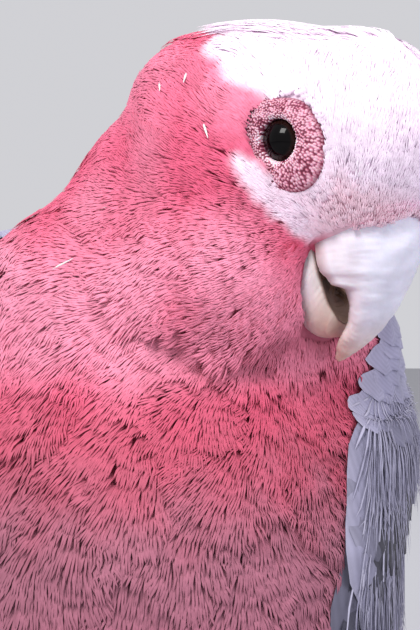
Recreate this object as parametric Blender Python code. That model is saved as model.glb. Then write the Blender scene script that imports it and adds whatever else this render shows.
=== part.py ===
"""Galah (Eolophus roseicapilla), a life-size standing model with its head turned to its left.

The bird faces -Y, +X is its left and +Z is up. Lengths below are in millimetres and angles in
degrees, and add_solid() turns them to metres. The feathered outline is one soft union of rounded lobes,
given by the function level(): 0 on the coat, negative inside. Rays from a line inside the bird find the
coat, so the head, neck and trunk are one form parted by thin cuts, and the wings and the crest are shells
laid on it.
"""

import math

import bmesh
import bpy
import numpy as np
from mathutils import Matrix, Vector

MM = 0.001
GAP = 0.3  # clearance between neighbouring solids

# Pose: the head is turned to the bird's left with the bill lowered, and stands off the midline.
HEAD_TURN = 46.0
HEAD_DROP = 30.0
BETWEEN_EYES = np.array([32.0, -18.0, 204.0])

# Lobes of the coat: centre, half-sizes, and the tilt of the lobe about X, which lowers its back.
LOBE_BLEND = 3.5
HEAD_LOBES = [  # in the head's own axes, from the point between the eyes
    ("cranium", (0, 12, -4.8), (18.5, 18.5, 15.6), 0),
    ("forehead", (0, -3, 5.5), (13, 15, 13.5), 0),
    ("face", (0, -5, -6), (10.5, 12.5, 9.5), 0),
    ("left_cheek", (8, 14, -13), (13, 15, 14), 0),
    ("right_cheek", (-8, 14, -13), (13, 15, 14), 0),
    ("chin", (0, 13, -21), (9, 9, 9), 0),
    ("occiput", (0, 25, -7.6), (17, 15, 10.5), 0),
]
BODY_LOBES = [
    ("ruff", (11.5, -10, 181), (17, 19, 15), 0),
    ("nape", (2.5, 6.5, 171.2), (37, 27, 25.2), 0),
    ("shoulders", (0, 8, 150), (40, 31, 26), 0),
    ("breast", (0, -6, 132), (36, 33, 40), 0),
    ("flank", (0, 8, 108), (37, 36, 36), 15),
    ("back", (0, 28, 132), (33, 23, 44), 26),
    ("belly", (0, 17, 82), (34, 34, 38), 24),
    ("rump", (0, 56, 82), (24, 19, 38), 50),
    ("vent", (0, 46, 60), (23, 19, 30), 58),
    ("tail_root", (0, 82, 55), (15, 8, 26), 66),
    ("hindneck", (3, 8, 192), (16, 17, 18.5), 0),
]
TAIL_LOBES = [("tail_bed", (0, 112, 37.4), (22, 5.0, 62), 65)]  # what the folded wing tips lie on

# The inner line, from the crown to the root of the tail; the first three points are in the head's axes.
LINE_IN_HEAD = [(0, 11, 15.5), (0, 9, 2), (0, 9, -14)]
LINE_IN_BODY = [(7, 2, 174), (1, 6, 152), (0, 10, 128), (0, 22, 100), (0, 46, 76), (0, 94, 52)]
DOME = 0.066  # down to this share of the line, the rays fan out over the crown from one point
HEAD_CUT, NECK_CUT = 0.26, 0.40  # shares of the line where the head ends and where the neck ends
TRUNK_END = 0.985
SIDES = 34

# Crest, laid flat over the crown: angles from straight ahead, over the top, to its tips at the nape
CREST_FROM, CREST_TO = 62.0, 176.0
CREST_HALF_ANGLE = [12, 24, 30, 32, 27, 14]
CREST_THICK = [0.6, 1.0, 1.2, 1.2, 1.1, 0.8]
CREST_LIFT = 1.6  # how far the tips stand off the nape

# Eye
EYE_AT = (15.6, 0.6, 0.0)  # the left one, from the point between the eyes
EYE_RADIUS = 3.9
EYE_PROUD = 1.5  # how far the eyeball stands out of its ring's plane
EYE_FACES = (0.99, -0.10, 0.05)
RING_OUTER, RING_INNER, RING_THICK = 7.3, 3.1, 1.8
RING_STEPS = 18
# The ring's rim every 30 degrees, from straight ahead over the top: how far it is from the eye's middle,
# and how far it stands out of the eye's plane as it follows the side of the head.
RING_RADII = [8.9, 8.1, 7.3, 7.2, 6.8, 7.2, 6.9, 6.3, 6.1, 6.3, 8.0, 9.2]
RING_LIFTS = [-0.8, -0.8, -0.8, -0.7, -0.3, 0.3, 1.2, 1.7, 1.7, 1.0, 0.1, -0.7]

# Bill, in the head's axes: forward and up of the point between the eyes, from the root to the tip.
CULMEN = [
    (11.0, 1.0),
    (18.0, -1.6),
    (21.5, -7.5),
    (22.5, -15.0),
    (21.8, -22.4),
    (19.9, -28.4),
    (17.7, -32.2),
]
TOMIUM = [
    (2.0, -9.0),
    (8.6, -13.2),
    (11.8, -16.3),
    (14.8, -18.3),
    (16.6, -20.6),
    (17.5, -24.0),
    (17.2, -28.0),
    (16.7, -31.8),
]
UPPER_HALF_WIDTH = [7.6, 8.9, 8.5, 7.0, 5.2, 3.4, 0.9]
GONYS = [(0.5, -20.0), (4.5, -26.6), (8.8, -29.8), (12.6, -30.4), (15.0, -28.8)]
RIM = [(2.0, -11.5), (8.6, -14.8), (12.0, -18.4), (14.4, -21.6), (15.9, -23.8)]
LOWER_HALF_WIDTH = [7.0, 8.3, 8.8, 7.8, 5.0]
SCOOP_DEPTH = 0.38  # share of the lower bill's depth that its scoop takes up

# Folded wing, laid on the trunk: rows run from the shoulder to the tip, angles from the breast round.
WING_ROWS = [0.175, 0.22, 0.31, 0.44, 0.59, 0.76, 0.92, 1.07, 1.22]
WING_LEADING = [96, 70, 57, 39, 44, 62, 88, 112, 134]
WING_TRAILING = [108, 130, 150, 164, 170, 170, 170, 168, 150]
WING_CLEARANCE = 1.3  # between the wing's inner face and the coat
# The neck's feathers spread over the right shoulder: that wing's edge starts further round and lower.
RIGHT_WING_BACK, RIGHT_WING_LOWER = 22.0, 0.09
WING_THICK = [1.2, 3.0, 4.6, 5.2, 5.2, 4.8, 3.8, 2.6, 1.2]
WING_PARTS = [("coverts", 0.0, 0.40), ("secondaries", 0.40, 0.66), ("primaries", 0.66, 1.0)]
WING_LINE_END = [(0, 136, 31), (0, 176, 12)]  # carries the inner line on along the tail

# Tail
TAIL_ROOT, TAIL_TIP = (74.0, 58.0), (188.0, 3.0)  # back and up
TAIL_HALF_WIDTH_ROOT, TAIL_HALF_WIDTH_TIP = 15.0, 26.0
TAIL_THICK_ROOT, TAIL_THICK_TIP = 7.0, 3.0
TAIL_FEATHERS = 12

# Legs and feet, for the left one
HIP = (15.5, 22, 64)
ANKLE = (15.5, 32, 27)
FOOT = (15, 19, 7.5)
THIGH_RADII = (15.5, 12.0, 5.2)
SHANK_RADIUS = 3.3
TOE_RADIUS = 3.1
SOLE = 2.3  # height of a toe's middle over the floor
TOES = [  # heading from straight ahead, towards the outside, and length without the claw
    ("inner_front", -14, 17),
    ("outer_front", 20, 25),
    ("inner_back", -150, 12),
    ("outer_back", 150, 22),
]
CLAW_LENGTH, CLAW_RADIUS, CLAW_HOOK = 9.0, 1.7, 62.0

PINK, PALE_PINK, GREY, DARK_GREY = "C9566B", "EFC9D2", "9CA0AB", "5E626C"
BONE, SKIN_GREY, RING_PINK, EYE_BROWN, CLAW_GREY = "E4DDD6", "7D7876", "B98A8C", "1C0F0C", "5A5452"


# ---------------------------------------------------------------- frames and curves


def turn_about(axis, degrees):
    return np.array(Matrix.Rotation(math.radians(degrees), 3, axis))


HEAD_AXES = turn_about("Z", HEAD_TURN) @ turn_about("X", HEAD_DROP)


def from_head(points):
    """Points in the head's axes, placed in the bird's."""
    return np.asarray(points, float) @ HEAD_AXES.T + BETWEEN_EYES


def through(points, t):
    """Smooth curve through the points, at shares t of its length, as cubic spans with averaged slopes."""
    points = np.asarray(points, float).reshape(len(points), -1)
    steps = np.linalg.norm(np.diff(points, axis=0), axis=1)
    knots = np.concatenate([[0], np.cumsum(steps)]) / steps.sum()
    slopes = np.gradient(points, knots, axis=0)
    t = np.clip(np.asarray(t, float), 0, 1)
    i = np.clip(np.searchsorted(knots, t, side="right") - 1, 0, len(knots) - 2)
    width = (knots[i + 1] - knots[i])[:, None]
    s = (t - knots[i])[:, None] / width
    return (
        points[i] * (1 + 2 * s) * (1 - s) ** 2
        + slopes[i] * width * s * (1 - s) ** 2
        + points[i + 1] * s * s * (3 - 2 * s)
        + slopes[i + 1] * width * s * s * (s - 1)
    )


def row(values, t):
    """One number per evenly spaced station, read at shares t and straight between the stations."""
    return np.interp(t, np.linspace(0, 1, len(values)), values)


# ---------------------------------------------------------------- the coat as a level


def placed(lobes, axes=np.eye(3), origin=(0, 0, 0)):
    """Each lobe as its centre, its own axes and its half-sizes, all in the bird's frame."""
    found = []
    for _name, centre, radii, tilt in lobes:
        own = axes @ turn_about("X", tilt)
        found.append((axes @ np.array(centre, float) + origin, own, np.array(radii, float)))
    return found


HEAD = placed(HEAD_LOBES, HEAD_AXES, BETWEEN_EYES)
COAT = HEAD + placed(BODY_LOBES)
WING_BED = COAT + placed(TAIL_LOBES)


def level(points, lobes):
    """About the distance out of the soft union of the lobes: -blend * log(sum(exp(-distance / blend)))."""
    total = 0.0
    for centre, own, radii in lobes:
        q = (points - centre) @ own
        near = np.linalg.norm(q / radii, axis=-1)
        slope = np.linalg.norm(q / radii**2, axis=-1)
        distance = near * (near - 1) / np.maximum(slope, 1e-6)
        distance = np.where(near < 1e-3, -radii.min(), distance)
        total = total + np.exp(-distance / LOBE_BLEND)
    return -LOBE_BLEND * np.log(total)


def reach(origins, directions, height, lobes):
    """The points where rays from inside the bird come to that height over the coat."""
    far = np.zeros(directions.shape[:-1])
    for _ in range(70):
        short = height - level(origins + far[..., None] * directions, lobes)
        far = np.maximum(far + 0.8 * short, 0)
    return origins + far[..., None] * directions


def inner_line(t):
    """Points of the line inside the bird at shares t of its length, with the directions along it."""
    stations = np.vstack([from_head(LINE_IN_HEAD), LINE_IN_BODY, WING_LINE_END])
    whole = len(stations) - len(WING_LINE_END)
    steps = np.linalg.norm(np.diff(stations, axis=0), axis=1)
    body_share = steps[: whole - 1].sum() / steps.sum()
    t = np.asarray(t, float) * body_share
    step = 0.004
    ahead, behind = through(stations, t + step), through(stations, t - step)
    along = ahead - behind
    return through(stations, t), along / np.linalg.norm(along, axis=-1, keepdims=True)


def rays(t, angle):
    """Rays square to the inner line: angle 0 leaves by the breast, 90 by the left side, 180 by the back.

    From share DOME up to 0 they rise from square to the line to straight up out of the crown.
    """
    origins, along = inner_line(np.maximum(t, DOME))
    front = np.array([0, -1, 0]) + along * along[..., 1:2]
    front /= np.linalg.norm(front, axis=-1, keepdims=True)
    left = np.cross(along, front)
    left *= np.sign(left[..., :1] + 1e-12)
    turn = np.radians(angle)[..., None]
    rise = math.pi / 2 * np.clip(1 - np.asarray(t, float) / DOME, 0, 1)[..., None]
    level_ray = np.cos(turn) * front + np.sin(turn) * left
    return origins, np.cos(rise) * level_ray - np.sin(rise) * along


# ---------------------------------------------------------------- solids


def material(name, hexadecimal, roughness, metallic=0.0):
    """A plain finish in the part's own colour, an sRGB hex value."""
    found = bpy.data.materials.get(name)
    if found:
        return found
    found = bpy.data.materials.new(name)
    found.use_nodes = True
    srgb = np.array([int(hexadecimal[i : i + 2], 16) / 255 for i in (0, 2, 4)])
    colour = (*np.where(srgb > 0.04045, ((srgb + 0.055) / 1.055) ** 2.4, srgb / 12.92), 1)
    shader = found.node_tree.nodes["Principled BSDF"]
    shader.inputs["Base Color"].default_value = colour
    shader.inputs["Roughness"].default_value = roughness
    shader.inputs["Metallic"].default_value = metallic
    found.diffuse_color = colour
    return found


def add_solid(name, points, faces, finish, helper=False):
    """One closed mesh object from points in millimetres. A helper is a cutter, which isn't a part."""
    mesh = bpy.data.meshes.new(name)
    mesh.from_pydata((np.asarray(points) * MM).tolist(), [], faces)
    work = bmesh.new()
    work.from_mesh(mesh)
    bmesh.ops.remove_doubles(work, verts=work.verts, dist=0.02 * MM)
    bmesh.ops.recalc_face_normals(work, faces=work.faces)
    work.to_mesh(mesh)
    work.free()
    mesh.shade_smooth()
    mesh.set_sharp_from_angle(angle=math.radians(50))
    solid = bpy.data.objects.new(name, mesh)
    (CUTTERS if helper else BIRD).objects.link(solid)
    solid.data.materials.append(finish)
    solid.hide_render = helper
    if helper:
        solid.display_type = "WIRE"
    return solid


def skin_rings(rings):
    """Faces of a closed loft: quads between rings of equal length, and a fan over each end ring."""
    count, sides = rings.shape[:2]
    points = np.vstack([rings.reshape(-1, 3), rings[0].mean(0), rings[-1].mean(0)])
    first, last = count * sides, count * sides + 1
    faces = []
    for i in range(count - 1):
        for j in range(sides):
            k = (j + 1) % sides
            faces.append((i * sides + j, i * sides + k, (i + 1) * sides + k, (i + 1) * sides + j))
    for j in range(sides):
        k = (j + 1) % sides
        faces.append((first, k, j))
        faces.append((last, (count - 1) * sides + j, (count - 1) * sides + k))
    return points, faces


def loft(name, rings, finish, helper=False):
    points, faces = skin_rings(np.asarray(rings))
    return add_solid(name, points, faces, finish, helper)


def modify(solid, operation, other):
    """Cuts other from solid, or joins it on, with an exact Boolean."""
    change = solid.modifiers.new(operation.lower(), "BOOLEAN")
    change.operation = operation
    change.solver = "EXACT"
    change.object = other
    return solid


def apply_modifiers(solid):
    """Replaces the object's mesh by what its modifiers make of it."""
    bpy.context.view_layer.update()
    graph = bpy.context.evaluated_depsgraph_get()
    made = bpy.data.meshes.new_from_object(solid.evaluated_get(graph))
    solid.modifiers.clear()
    solid.data = made
    return solid


def mirrored(points, side):
    """Points of the left one, or with side -1 of the right one."""
    return np.asarray(points, float) * np.array([side, 1, 1])


SIDE_NAMES = (("left", 1), ("right", -1))


# ---------------------------------------------------------------- head, neck and trunk


def flesh_rings(start, end, count, height=0.0, sides=SIDES):
    """Rings of the coat between two shares of the inner line; those of the crown's dome come first."""
    t = np.linspace(start, end, count)
    if start == 0:
        dome = DOME * np.linspace(0.08, 1, count // 2, endpoint=False)
        t = np.concatenate([dome, np.linspace(DOME, end, count - len(dome))])
    angles = np.linspace(0, 360, sides, endpoint=False)
    t_grid, angle_grid = np.meshgrid(t, angles, indexing="ij")
    origins, directions = rays(t_grid.ravel(), angle_grid.ravel())
    return reach(origins, directions, height, COAT).reshape(count, sides, 3)


def parted_flesh():
    """The coat's form in three lengths, with a cut of GAP between them."""
    length = np.linalg.norm(np.diff(inner_line(np.linspace(0, 1, 60))[0], axis=0), axis=1).sum()
    half_cut = GAP / length * 0.6
    head = loft(
        "head", flesh_rings(0, HEAD_CUT - half_cut, 14, sides=34), material("pink", PINK, 0.8)
    )
    neck = loft(
        "neck", flesh_rings(HEAD_CUT + half_cut, NECK_CUT - half_cut, 7), material("pink", PINK, 0.8)
    )
    trunk = loft(
        "trunk", flesh_rings(NECK_CUT + half_cut, TRUNK_END, 15), material("pink", PINK, 0.8)
    )
    return head, neck, trunk


# ---------------------------------------------------------------- eyes


def eye_frame(side):
    """Centre of the eye's ring and the axes of the eye, with Z looking out of the head."""
    outward = np.array(EYE_FACES) * [side, 1, 1]
    outward /= np.linalg.norm(outward)
    up = np.array([0, 0, 1.0]) - outward * outward[2]
    up /= np.linalg.norm(up)
    own = np.column_stack([np.cross(up, outward), up, outward])
    return from_head(np.array(EYE_AT) * [side, 1, 1]), HEAD_AXES @ own


def turned(profile, steps):
    """Rings of a profile of (radius, height) pairs turned about Z."""
    angles = np.linspace(0, 2 * math.pi, steps, endpoint=False)
    profile = np.asarray(profile, float)
    x = profile[:, :1] * np.cos(angles)
    y = profile[:, :1] * np.sin(angles)
    return np.stack([x, y, np.repeat(profile[:, 1:], steps, axis=1)], axis=-1)


def around(values, angles):
    """One number per evenly spaced direction, read at any angle on smooth cubic spans that close."""
    values = np.asarray(values, float)
    place = angles / (2 * math.pi) * len(values)
    i = np.floor(place).astype(int)
    s = place - i
    a, b, c, d = (values[(i + k) % len(values)] for k in (-1, 0, 1, 2))
    return b + 0.5 * s * (c - a + s * (2 * a - 5 * b + 4 * c - d + s * (3 * (b - c) + d - a)))


def oval(points, side):
    """Draws a disc out to the ring's own outline and bends it to the head, more so towards its rim."""
    angles = np.arctan2(points[..., 1], -side * points[..., 0])
    outward = np.linalg.norm(points[..., :2], axis=-1)
    share = np.clip((outward - EYE_RADIUS) / (RING_OUTER - EYE_RADIUS), 0, 1)
    wider = 1 + (around(RING_RADII, angles) / RING_OUTER - 1) * share
    drawn = points * np.stack([wider, wider, np.ones_like(wider)], axis=-1)
    drawn[..., 2] += around(RING_LIFTS, angles) * share**2
    return drawn


def clear_of_eyeball(height):
    """Least radius of the ring's hole at that height over its plane, GAP outside the eyeball."""
    under = EYE_RADIUS - EYE_PROUD + height
    return max(RING_INNER, math.sqrt(max((EYE_RADIUS + 1.4 * GAP) ** 2 - under**2, 0)))


def ring_profile():
    """Half-section of the bare ring round the eye: a low dome with a hole, closed as a loop."""
    outer, thick = RING_OUTER, RING_THICK / 2
    return [
        (clear_of_eyeball(-thick), -thick),
        (clear_of_eyeball(0), 0),
        (clear_of_eyeball(0.75 * thick), 0.75 * thick),
        ((RING_INNER + outer) / 2, thick),
        (outer - 0.6, 0.5 * thick),
        (outer, -0.2 * thick),
        (outer - 0.4, -thick),
    ]


def closed_turning(name, profile, side, finish, steps=RING_STEPS):
    """A turned ring: the loop of the profile carried round the eye's axis."""
    centre, own = eye_frame(side)
    rings = oval(turned(profile, steps), side) @ own.T + centre
    count = len(profile)
    faces = []
    for i in range(count):
        for j in range(steps):
            k, n = (j + 1) % steps, (i + 1) % count
            faces.append((i * steps + j, i * steps + k, n * steps + k, n * steps + j))
    return add_solid(name, rings.reshape(-1, 3), faces, finish)


def eyeball(name, side, radius, finish, helper=False):
    centre, own = eye_frame(side)
    ball = bmesh.new()
    bmesh.ops.create_uvsphere(ball, u_segments=12, v_segments=9, radius=radius)
    points = np.array([v.co for v in ball.verts])
    faces = [[v.index for v in f.verts] for f in ball.faces]
    ball.free()
    sunk = np.array([0, 0, EYE_PROUD - EYE_RADIUS])
    return add_solid(name, (points + sunk) @ own.T + centre, faces, finish, helper)


def ring_bed(side):
    """Cutter for the shallow bed of the ring and, in its middle, the eye's socket."""
    centre, own = eye_frame(side)
    outer, deep = RING_OUTER + GAP, RING_THICK / 2 + GAP
    floor = [(radius, -deep) for radius in (EYE_RADIUS, (EYE_RADIUS + outer) / 2, outer - 0.4)]
    profile = [*floor, (outer, -0.2 * deep), (outer + 0.6, 6.0)]
    rings = oval(turned(profile, RING_STEPS), side) @ own.T + centre
    return loft(f"bed_{side}", rings, material("bed", SKIN_GREY, 0.6), helper=True)


def eyes(head):
    for word, side in SIDE_NAMES:
        eyeball(f"eye_{word}", side, EYE_RADIUS, material("eye", EYE_BROWN, 0.1))
        closed_turning(
            f"eye_ring_{word}", ring_profile(), side, material("bare_ring", RING_PINK, 0.6)
        )
        modify(head, "DIFFERENCE", ring_bed(side))
        socket = eyeball(f"socket_{side}", side, EYE_RADIUS + GAP, material("bed", SKIN_GREY, 0.6), True)
        modify(head, "DIFFERENCE", socket)


# ---------------------------------------------------------------- bill


def bill_rings(ridge, edge, half_widths, count, sides, grow, power, scoop=0.0):
    """Sections of a bill half from root to tip: an arch over the ridge line, closed across the edges."""
    t = np.linspace(0, 1, count)
    top, bottom = through(ridge, t), through(edge, t)
    depth = top - bottom
    span = np.linalg.norm(depth, axis=1, keepdims=True)
    top, bottom = top + grow * depth / span, bottom - grow * depth / span
    width = row(half_widths, t) + grow
    arch = np.linspace(-90, 90, sides // 2 + 1)
    back = np.linspace(90, -90, sides // 2 + 1)[1:-1]
    rise = np.concatenate(
        [np.cos(np.radians(arch)) ** power, scoop * np.cos(np.radians(back)) ** 1.5]
    )
    across = np.concatenate([np.sin(np.radians(arch)), 0.86 * np.sin(np.radians(back))])
    place = bottom[:, None] + (top - bottom)[:, None] * rise[:, None]
    lateral = width[:, None] * across
    return from_head(np.stack([lateral, -place[..., 0], place[..., 1]], axis=-1))


def upper_bill(name, grow=0.0, helper=False):
    rings = bill_rings(CULMEN, TOMIUM, UPPER_HALF_WIDTH, 13, 16, grow, 0.72, 0.12 if not helper else 0)
    return loft(name, rings, material("bill", BONE, 0.35), helper)


def lower_bill(name, grow=0.0, helper=False):
    rings = bill_rings(GONYS, RIM, LOWER_HALF_WIDTH, 10, 16, grow, 0.6, 0 if helper else SCOOP_DEPTH)
    return loft(name, rings, material("bill", BONE, 0.35), helper)


def bill(head):
    upper_bill("bill_upper")
    lower_bill("bill_lower")
    modify(head, "DIFFERENCE", upper_bill("upper_root", GAP, True))
    modify(head, "DIFFERENCE", lower_bill("lower_root", GAP, True))


# ---------------------------------------------------------------- shells laid on the coat


def shell(name, inner, outer, finish):
    """A closed slab between two grids of points of the same shape."""
    rows, columns = inner.shape[:2]
    points = np.vstack([inner.reshape(-1, 3), outer.reshape(-1, 3)])
    lid = rows * columns
    faces = []
    for i in range(rows - 1):
        for j in range(columns - 1):
            a, b = i * columns + j, (i + 1) * columns + j
            faces.append((a, b, b + 1, a + 1))
            faces.append((lid + a, lid + a + 1, lid + b + 1, lid + b))
    rim = [i * columns for i in range(rows)]
    rim += [(rows - 1) * columns + j for j in range(1, columns)]
    rim += [i * columns + columns - 1 for i in range(rows - 2, -1, -1)]
    rim += [j for j in range(columns - 2, 0, -1)]
    for a, b in zip(rim, rim[1:] + rim[:1]):
        faces.append((a, b, lid + b, lid + a))
    return add_solid(name, points, faces, finish)


def crest():
    """The folded crest: a thin shell over the crown whose tips lift a little behind."""
    rows, columns = 9, 7
    share = np.linspace(0, 1, rows)
    over = np.radians(CREST_FROM + (CREST_TO - CREST_FROM) * share)[:, None]
    aside = np.radians(row(CREST_HALF_ANGLE, share))[:, None] * np.linspace(-1, 1, columns)
    directions = np.stack(
        [np.sin(aside), -np.cos(aside) * np.cos(over), np.cos(aside) * np.sin(over)], axis=-1
    )
    directions = (directions @ HEAD_AXES.T).reshape(-1, 3)
    origins = np.broadcast_to(from_head(LINE_IN_HEAD[1]), directions.shape)
    lift = np.repeat(2.5 * GAP + CREST_LIFT * share**4, columns)
    edge = np.tile(1 - 0.4 * np.abs(np.linspace(-1, 1, columns)) ** 3, rows)
    inner = reach(origins, directions, lift, COAT)
    outer = reach(origins, directions, lift + np.repeat(row(CREST_THICK, share), columns) * edge, COAT)
    shape = (rows, columns, 3)
    return shell("crest", inner.reshape(shape), outer.reshape(shape), material("crest", PALE_PINK, 0.8))


def wing_grid(side, start, end, rows, columns):
    """Inner and outer faces of a length of the folded wing, from share start to share end of it."""
    share = np.linspace(start, end, rows)
    t = row(WING_ROWS, share)
    across = np.linspace(0, 1, columns)
    leading, trailing = row(WING_LEADING, share)[:, None], row(WING_TRAILING, share)[:, None]
    if side < 0:
        t = t + RIGHT_WING_LOWER * (1 - share) ** 3
        further = RIGHT_WING_BACK * (1 - share[:, None]) ** 3
        leading, trailing = leading + further, trailing + 0.7 * further
    angles = leading + (trailing - leading) * across
    t_grid = np.repeat(t[:, None], columns, axis=1)
    origins, directions = rays(t_grid.ravel(), side * angles.ravel())
    rounded = np.clip(4 * across * (1 - across), 0, 1) ** 0.4
    thick = (0.9 + row(WING_THICK, share)[:, None] * rounded).ravel()
    inner = reach(origins, directions, np.full(len(thick), WING_CLEARANCE), WING_BED)
    outer = reach(origins, directions, WING_CLEARANCE + thick, WING_BED)
    return inner.reshape(rows, columns, 3), outer.reshape(rows, columns, 3)


def wings():
    finishes = {"coverts": GREY, "secondaries": GREY, "primaries": DARK_GREY}
    half_cut = 0.0012
    for word, side in SIDE_NAMES:
        for part, start, end in WING_PARTS:
            inner, outer = wing_grid(side, start + half_cut, end - half_cut, 8, 9)
            shell(f"wing_{word}_{part}", inner, outer, material(part, finishes[part], 0.7))


# ---------------------------------------------------------------- tail


def tail():
    """The closed tail: a slab a little arched across, whose tip steps from feather to feather."""
    count, columns = 5, 2 * TAIL_FEATHERS + 1
    along = np.linspace(0, 1, count)[:, None]
    across = np.linspace(-1, 1, columns)[None, :]
    root, tip = np.array(TAIL_ROOT), np.array(TAIL_TIP)
    slope = (tip - root) / np.linalg.norm(tip - root)
    half_width = TAIL_HALF_WIDTH_ROOT + (TAIL_HALF_WIDTH_TIP - TAIL_HALF_WIDTH_ROOT) * along**0.7
    steps = np.abs(np.sin(across * TAIL_FEATHERS / 2 * math.pi))
    shorter = 12.0 * across**2 + 2.0 * steps
    length = np.linalg.norm(tip - root) * along - shorter * along**3
    thick = TAIL_THICK_ROOT + (TAIL_THICK_TIP - TAIL_THICK_ROOT) * along
    arch = -5.0 * across**2 * (1 - 0.75 * along)
    edge = np.clip(1 - across**8, 0.35, 1)
    grids = []
    for face in (-0.5, 0.5):
        off = arch + face * thick * edge
        back = root[0] + length * slope[0] - off * slope[1]
        up = root[1] + length * slope[1] + off * slope[0]
        grids.append(np.stack([half_width * across, back, up], axis=-1))
    return shell("tail", grids[0], grids[1], material("tail", DARK_GREY, 0.7))


# ---------------------------------------------------------------- legs


def tube(name, points, radii, finish, sides=7, rings=0, helper=False):
    """A round limb through the points, with one radius at each, and rounded ends."""
    t = np.linspace(0, 1, rings or 2 * len(points) - 1)
    centres = through(points, t)
    sizes = row(radii, t)
    along = np.gradient(centres, axis=0)
    along /= np.linalg.norm(along, axis=1, keepdims=True)
    start, end = centres[0] - along[0] * sizes[0] * 0.6, centres[-1] + along[-1] * sizes[-1] * 0.6
    centres = np.vstack([start, centres, end])
    along = np.vstack([along[0], along, along[-1]])
    sizes = np.concatenate([[sizes[0] * 0.55], sizes, [sizes[-1] * 0.55]])
    side = np.cross(along, np.array([0.31, 0.11, 0.94]))
    side /= np.linalg.norm(side, axis=1, keepdims=True)
    up = np.cross(side, along)
    angles = np.linspace(0, 2 * math.pi, sides, endpoint=False)
    circle = np.cos(angles)[None, :, None] * side[:, None] + np.sin(angles)[None, :, None] * up[:, None]
    return loft(name, centres[:, None] + sizes[:, None, None] * circle, finish, helper)


def flatten_sole(solid):
    """Cuts the solid off at the floor, which leaves the flats that it stands on."""
    work = bmesh.new()
    work.from_mesh(solid.data)
    everything = list(work.verts) + list(work.edges) + list(work.faces)
    cut = bmesh.ops.bisect_plane(
        work, geom=everything, plane_co=(0, 0, 0), plane_no=(0, 0, -1), clear_outer=True
    )
    edges = [e for e in cut["geom_cut"] if isinstance(e, bmesh.types.BMEdge)]
    bmesh.ops.holes_fill(work, edges=edges)
    bmesh.ops.recalc_face_normals(work, faces=work.faces)
    work.to_mesh(solid.data)
    work.free()


def toe_line(side, heading, length):
    """Points of a toe's middle: out of the foot, over its first joint, and down flat."""
    turn = math.radians(heading)
    forward = np.array([side * math.sin(turn), -math.cos(turn), 0])
    root = mirrored((FOOT[0], FOOT[1], 5.2), side)
    knuckle = root + forward * length * 0.42 + [0, 0, 1.2 - 5.2 + SOLE + 1.2]
    flat = root + forward * length * 0.78
    end = root + forward * length
    flat[2] = end[2] = SOLE
    return [root, knuckle, flat, end], forward


def claw(name, base, forward, finish):
    """A hooked cone that leaves the toe's end level and curls down to the floor."""
    steps = np.linspace(0, 1, 5)
    bend = np.radians(CLAW_HOOK) * steps
    reach_out = CLAW_LENGTH * np.sin(bend) / math.radians(CLAW_HOOK)
    drop = CLAW_LENGTH * (1 - np.cos(bend)) / math.radians(CLAW_HOOK)
    rise = np.array([0, 0, 1.0])
    start = np.array([base[0], base[1], 0.35 + drop[-1]])
    centres = start + reach_out[:, None] * forward - drop[:, None] * rise
    along = np.cos(bend)[:, None] * forward - np.sin(bend)[:, None] * rise
    side = np.cross(forward, rise)
    up = np.cross(side, along)
    sizes = CLAW_RADIUS * (1 - 0.86 * steps)
    angles = np.linspace(0, 2 * math.pi, 6, endpoint=False)
    circle = np.cos(angles)[None, :, None] * side * 0.8 + np.sin(angles)[None, :, None] * up[:, None]
    return loft(name, centres[:, None] + sizes[:, None, None] * circle, finish)


def leg(word, side):
    """One leg from the thigh to the claws; the thigh is returned, to be cut where it leaves the belly."""
    pink, scaly = material("pink", PINK, 0.8), material("leg_skin", SKIN_GREY, 0.55)
    ankle, foot = mirrored(ANKLE, side), mirrored(FOOT, side)
    hip = mirrored(HIP, side)
    knee = (hip + ankle) / 2 + np.array([0, -7, -2])
    thigh_end = ankle + (knee - ankle) * 0.34
    thigh = tube(f"thigh_{word}", [hip, knee, thigh_end], THIGH_RADII, pink, 14, 9)
    shank_top = ankle + (foot - ankle) * 0.09
    shank_end = ankle + (foot - ankle) * 0.715
    tube(f"shank_{word}", [shank_top, (shank_top + shank_end) / 2, shank_end], [SHANK_RADIUS] * 3, scaly)
    sole = tube(
        f"foot_{word}",
        [foot + [0, 1.5, 1.2], foot + [0, 0, -1.5], foot + [0, -1.5, -4]],
        [3.6, 4.2, 3.6],
        scaly,
    )
    claws = []
    for number, (_place, heading, length) in enumerate(TOES):
        line, forward = toe_line(side, heading, length)
        radii = [TOE_RADIUS, TOE_RADIUS * 1.05, TOE_RADIUS * 0.95, TOE_RADIUS * 0.8]
        toe = tube(f"toe_{word}_{number}", line, radii, scaly, helper=True)
        modify(sole, "UNION", toe)
        claws.append((line[-1] + forward * (TOE_RADIUS * 0.8 * 0.6 + GAP), forward))
    apply_modifiers(sole)
    flatten_sole(sole)
    for (place, _heading, _length), (base, forward) in zip(TOES, claws):
        claw(f"claw_{word}_{place}", base, forward, material("claw", CLAW_GREY, 0.4))
    return thigh


def grown_trunk():
    """Cutter for what comes out of the trunk: the coat's form, a little larger all over."""
    return loft(
        "trunk_cutter",
        flesh_rings(NECK_CUT + 0.02, TRUNK_END + 0.004, 15, 3 * GAP, 28),
        material("bed", SKIN_GREY, 0.6),
        helper=True,
    )


# ---------------------------------------------------------------- the whole bird


def clear_scene():
    for old in list(bpy.data.objects):
        bpy.data.objects.remove(old, do_unlink=True)


def new_collection(name):
    made = bpy.data.collections.new(name)
    bpy.context.scene.collection.children.link(made)
    return made


def centre_on_floor():
    """Moves the bird so that the middle of its outline in plan is over the origin."""
    bpy.context.view_layer.update()
    corners = np.array([o.matrix_world @ Vector(c) for o in BIRD.objects for c in o.bound_box])
    middle = (corners.min(0) + corners.max(0)) / 2
    for solid in list(BIRD.objects) + list(CUTTERS.objects):
        solid.location -= Vector((middle[0], middle[1], 0))


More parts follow.
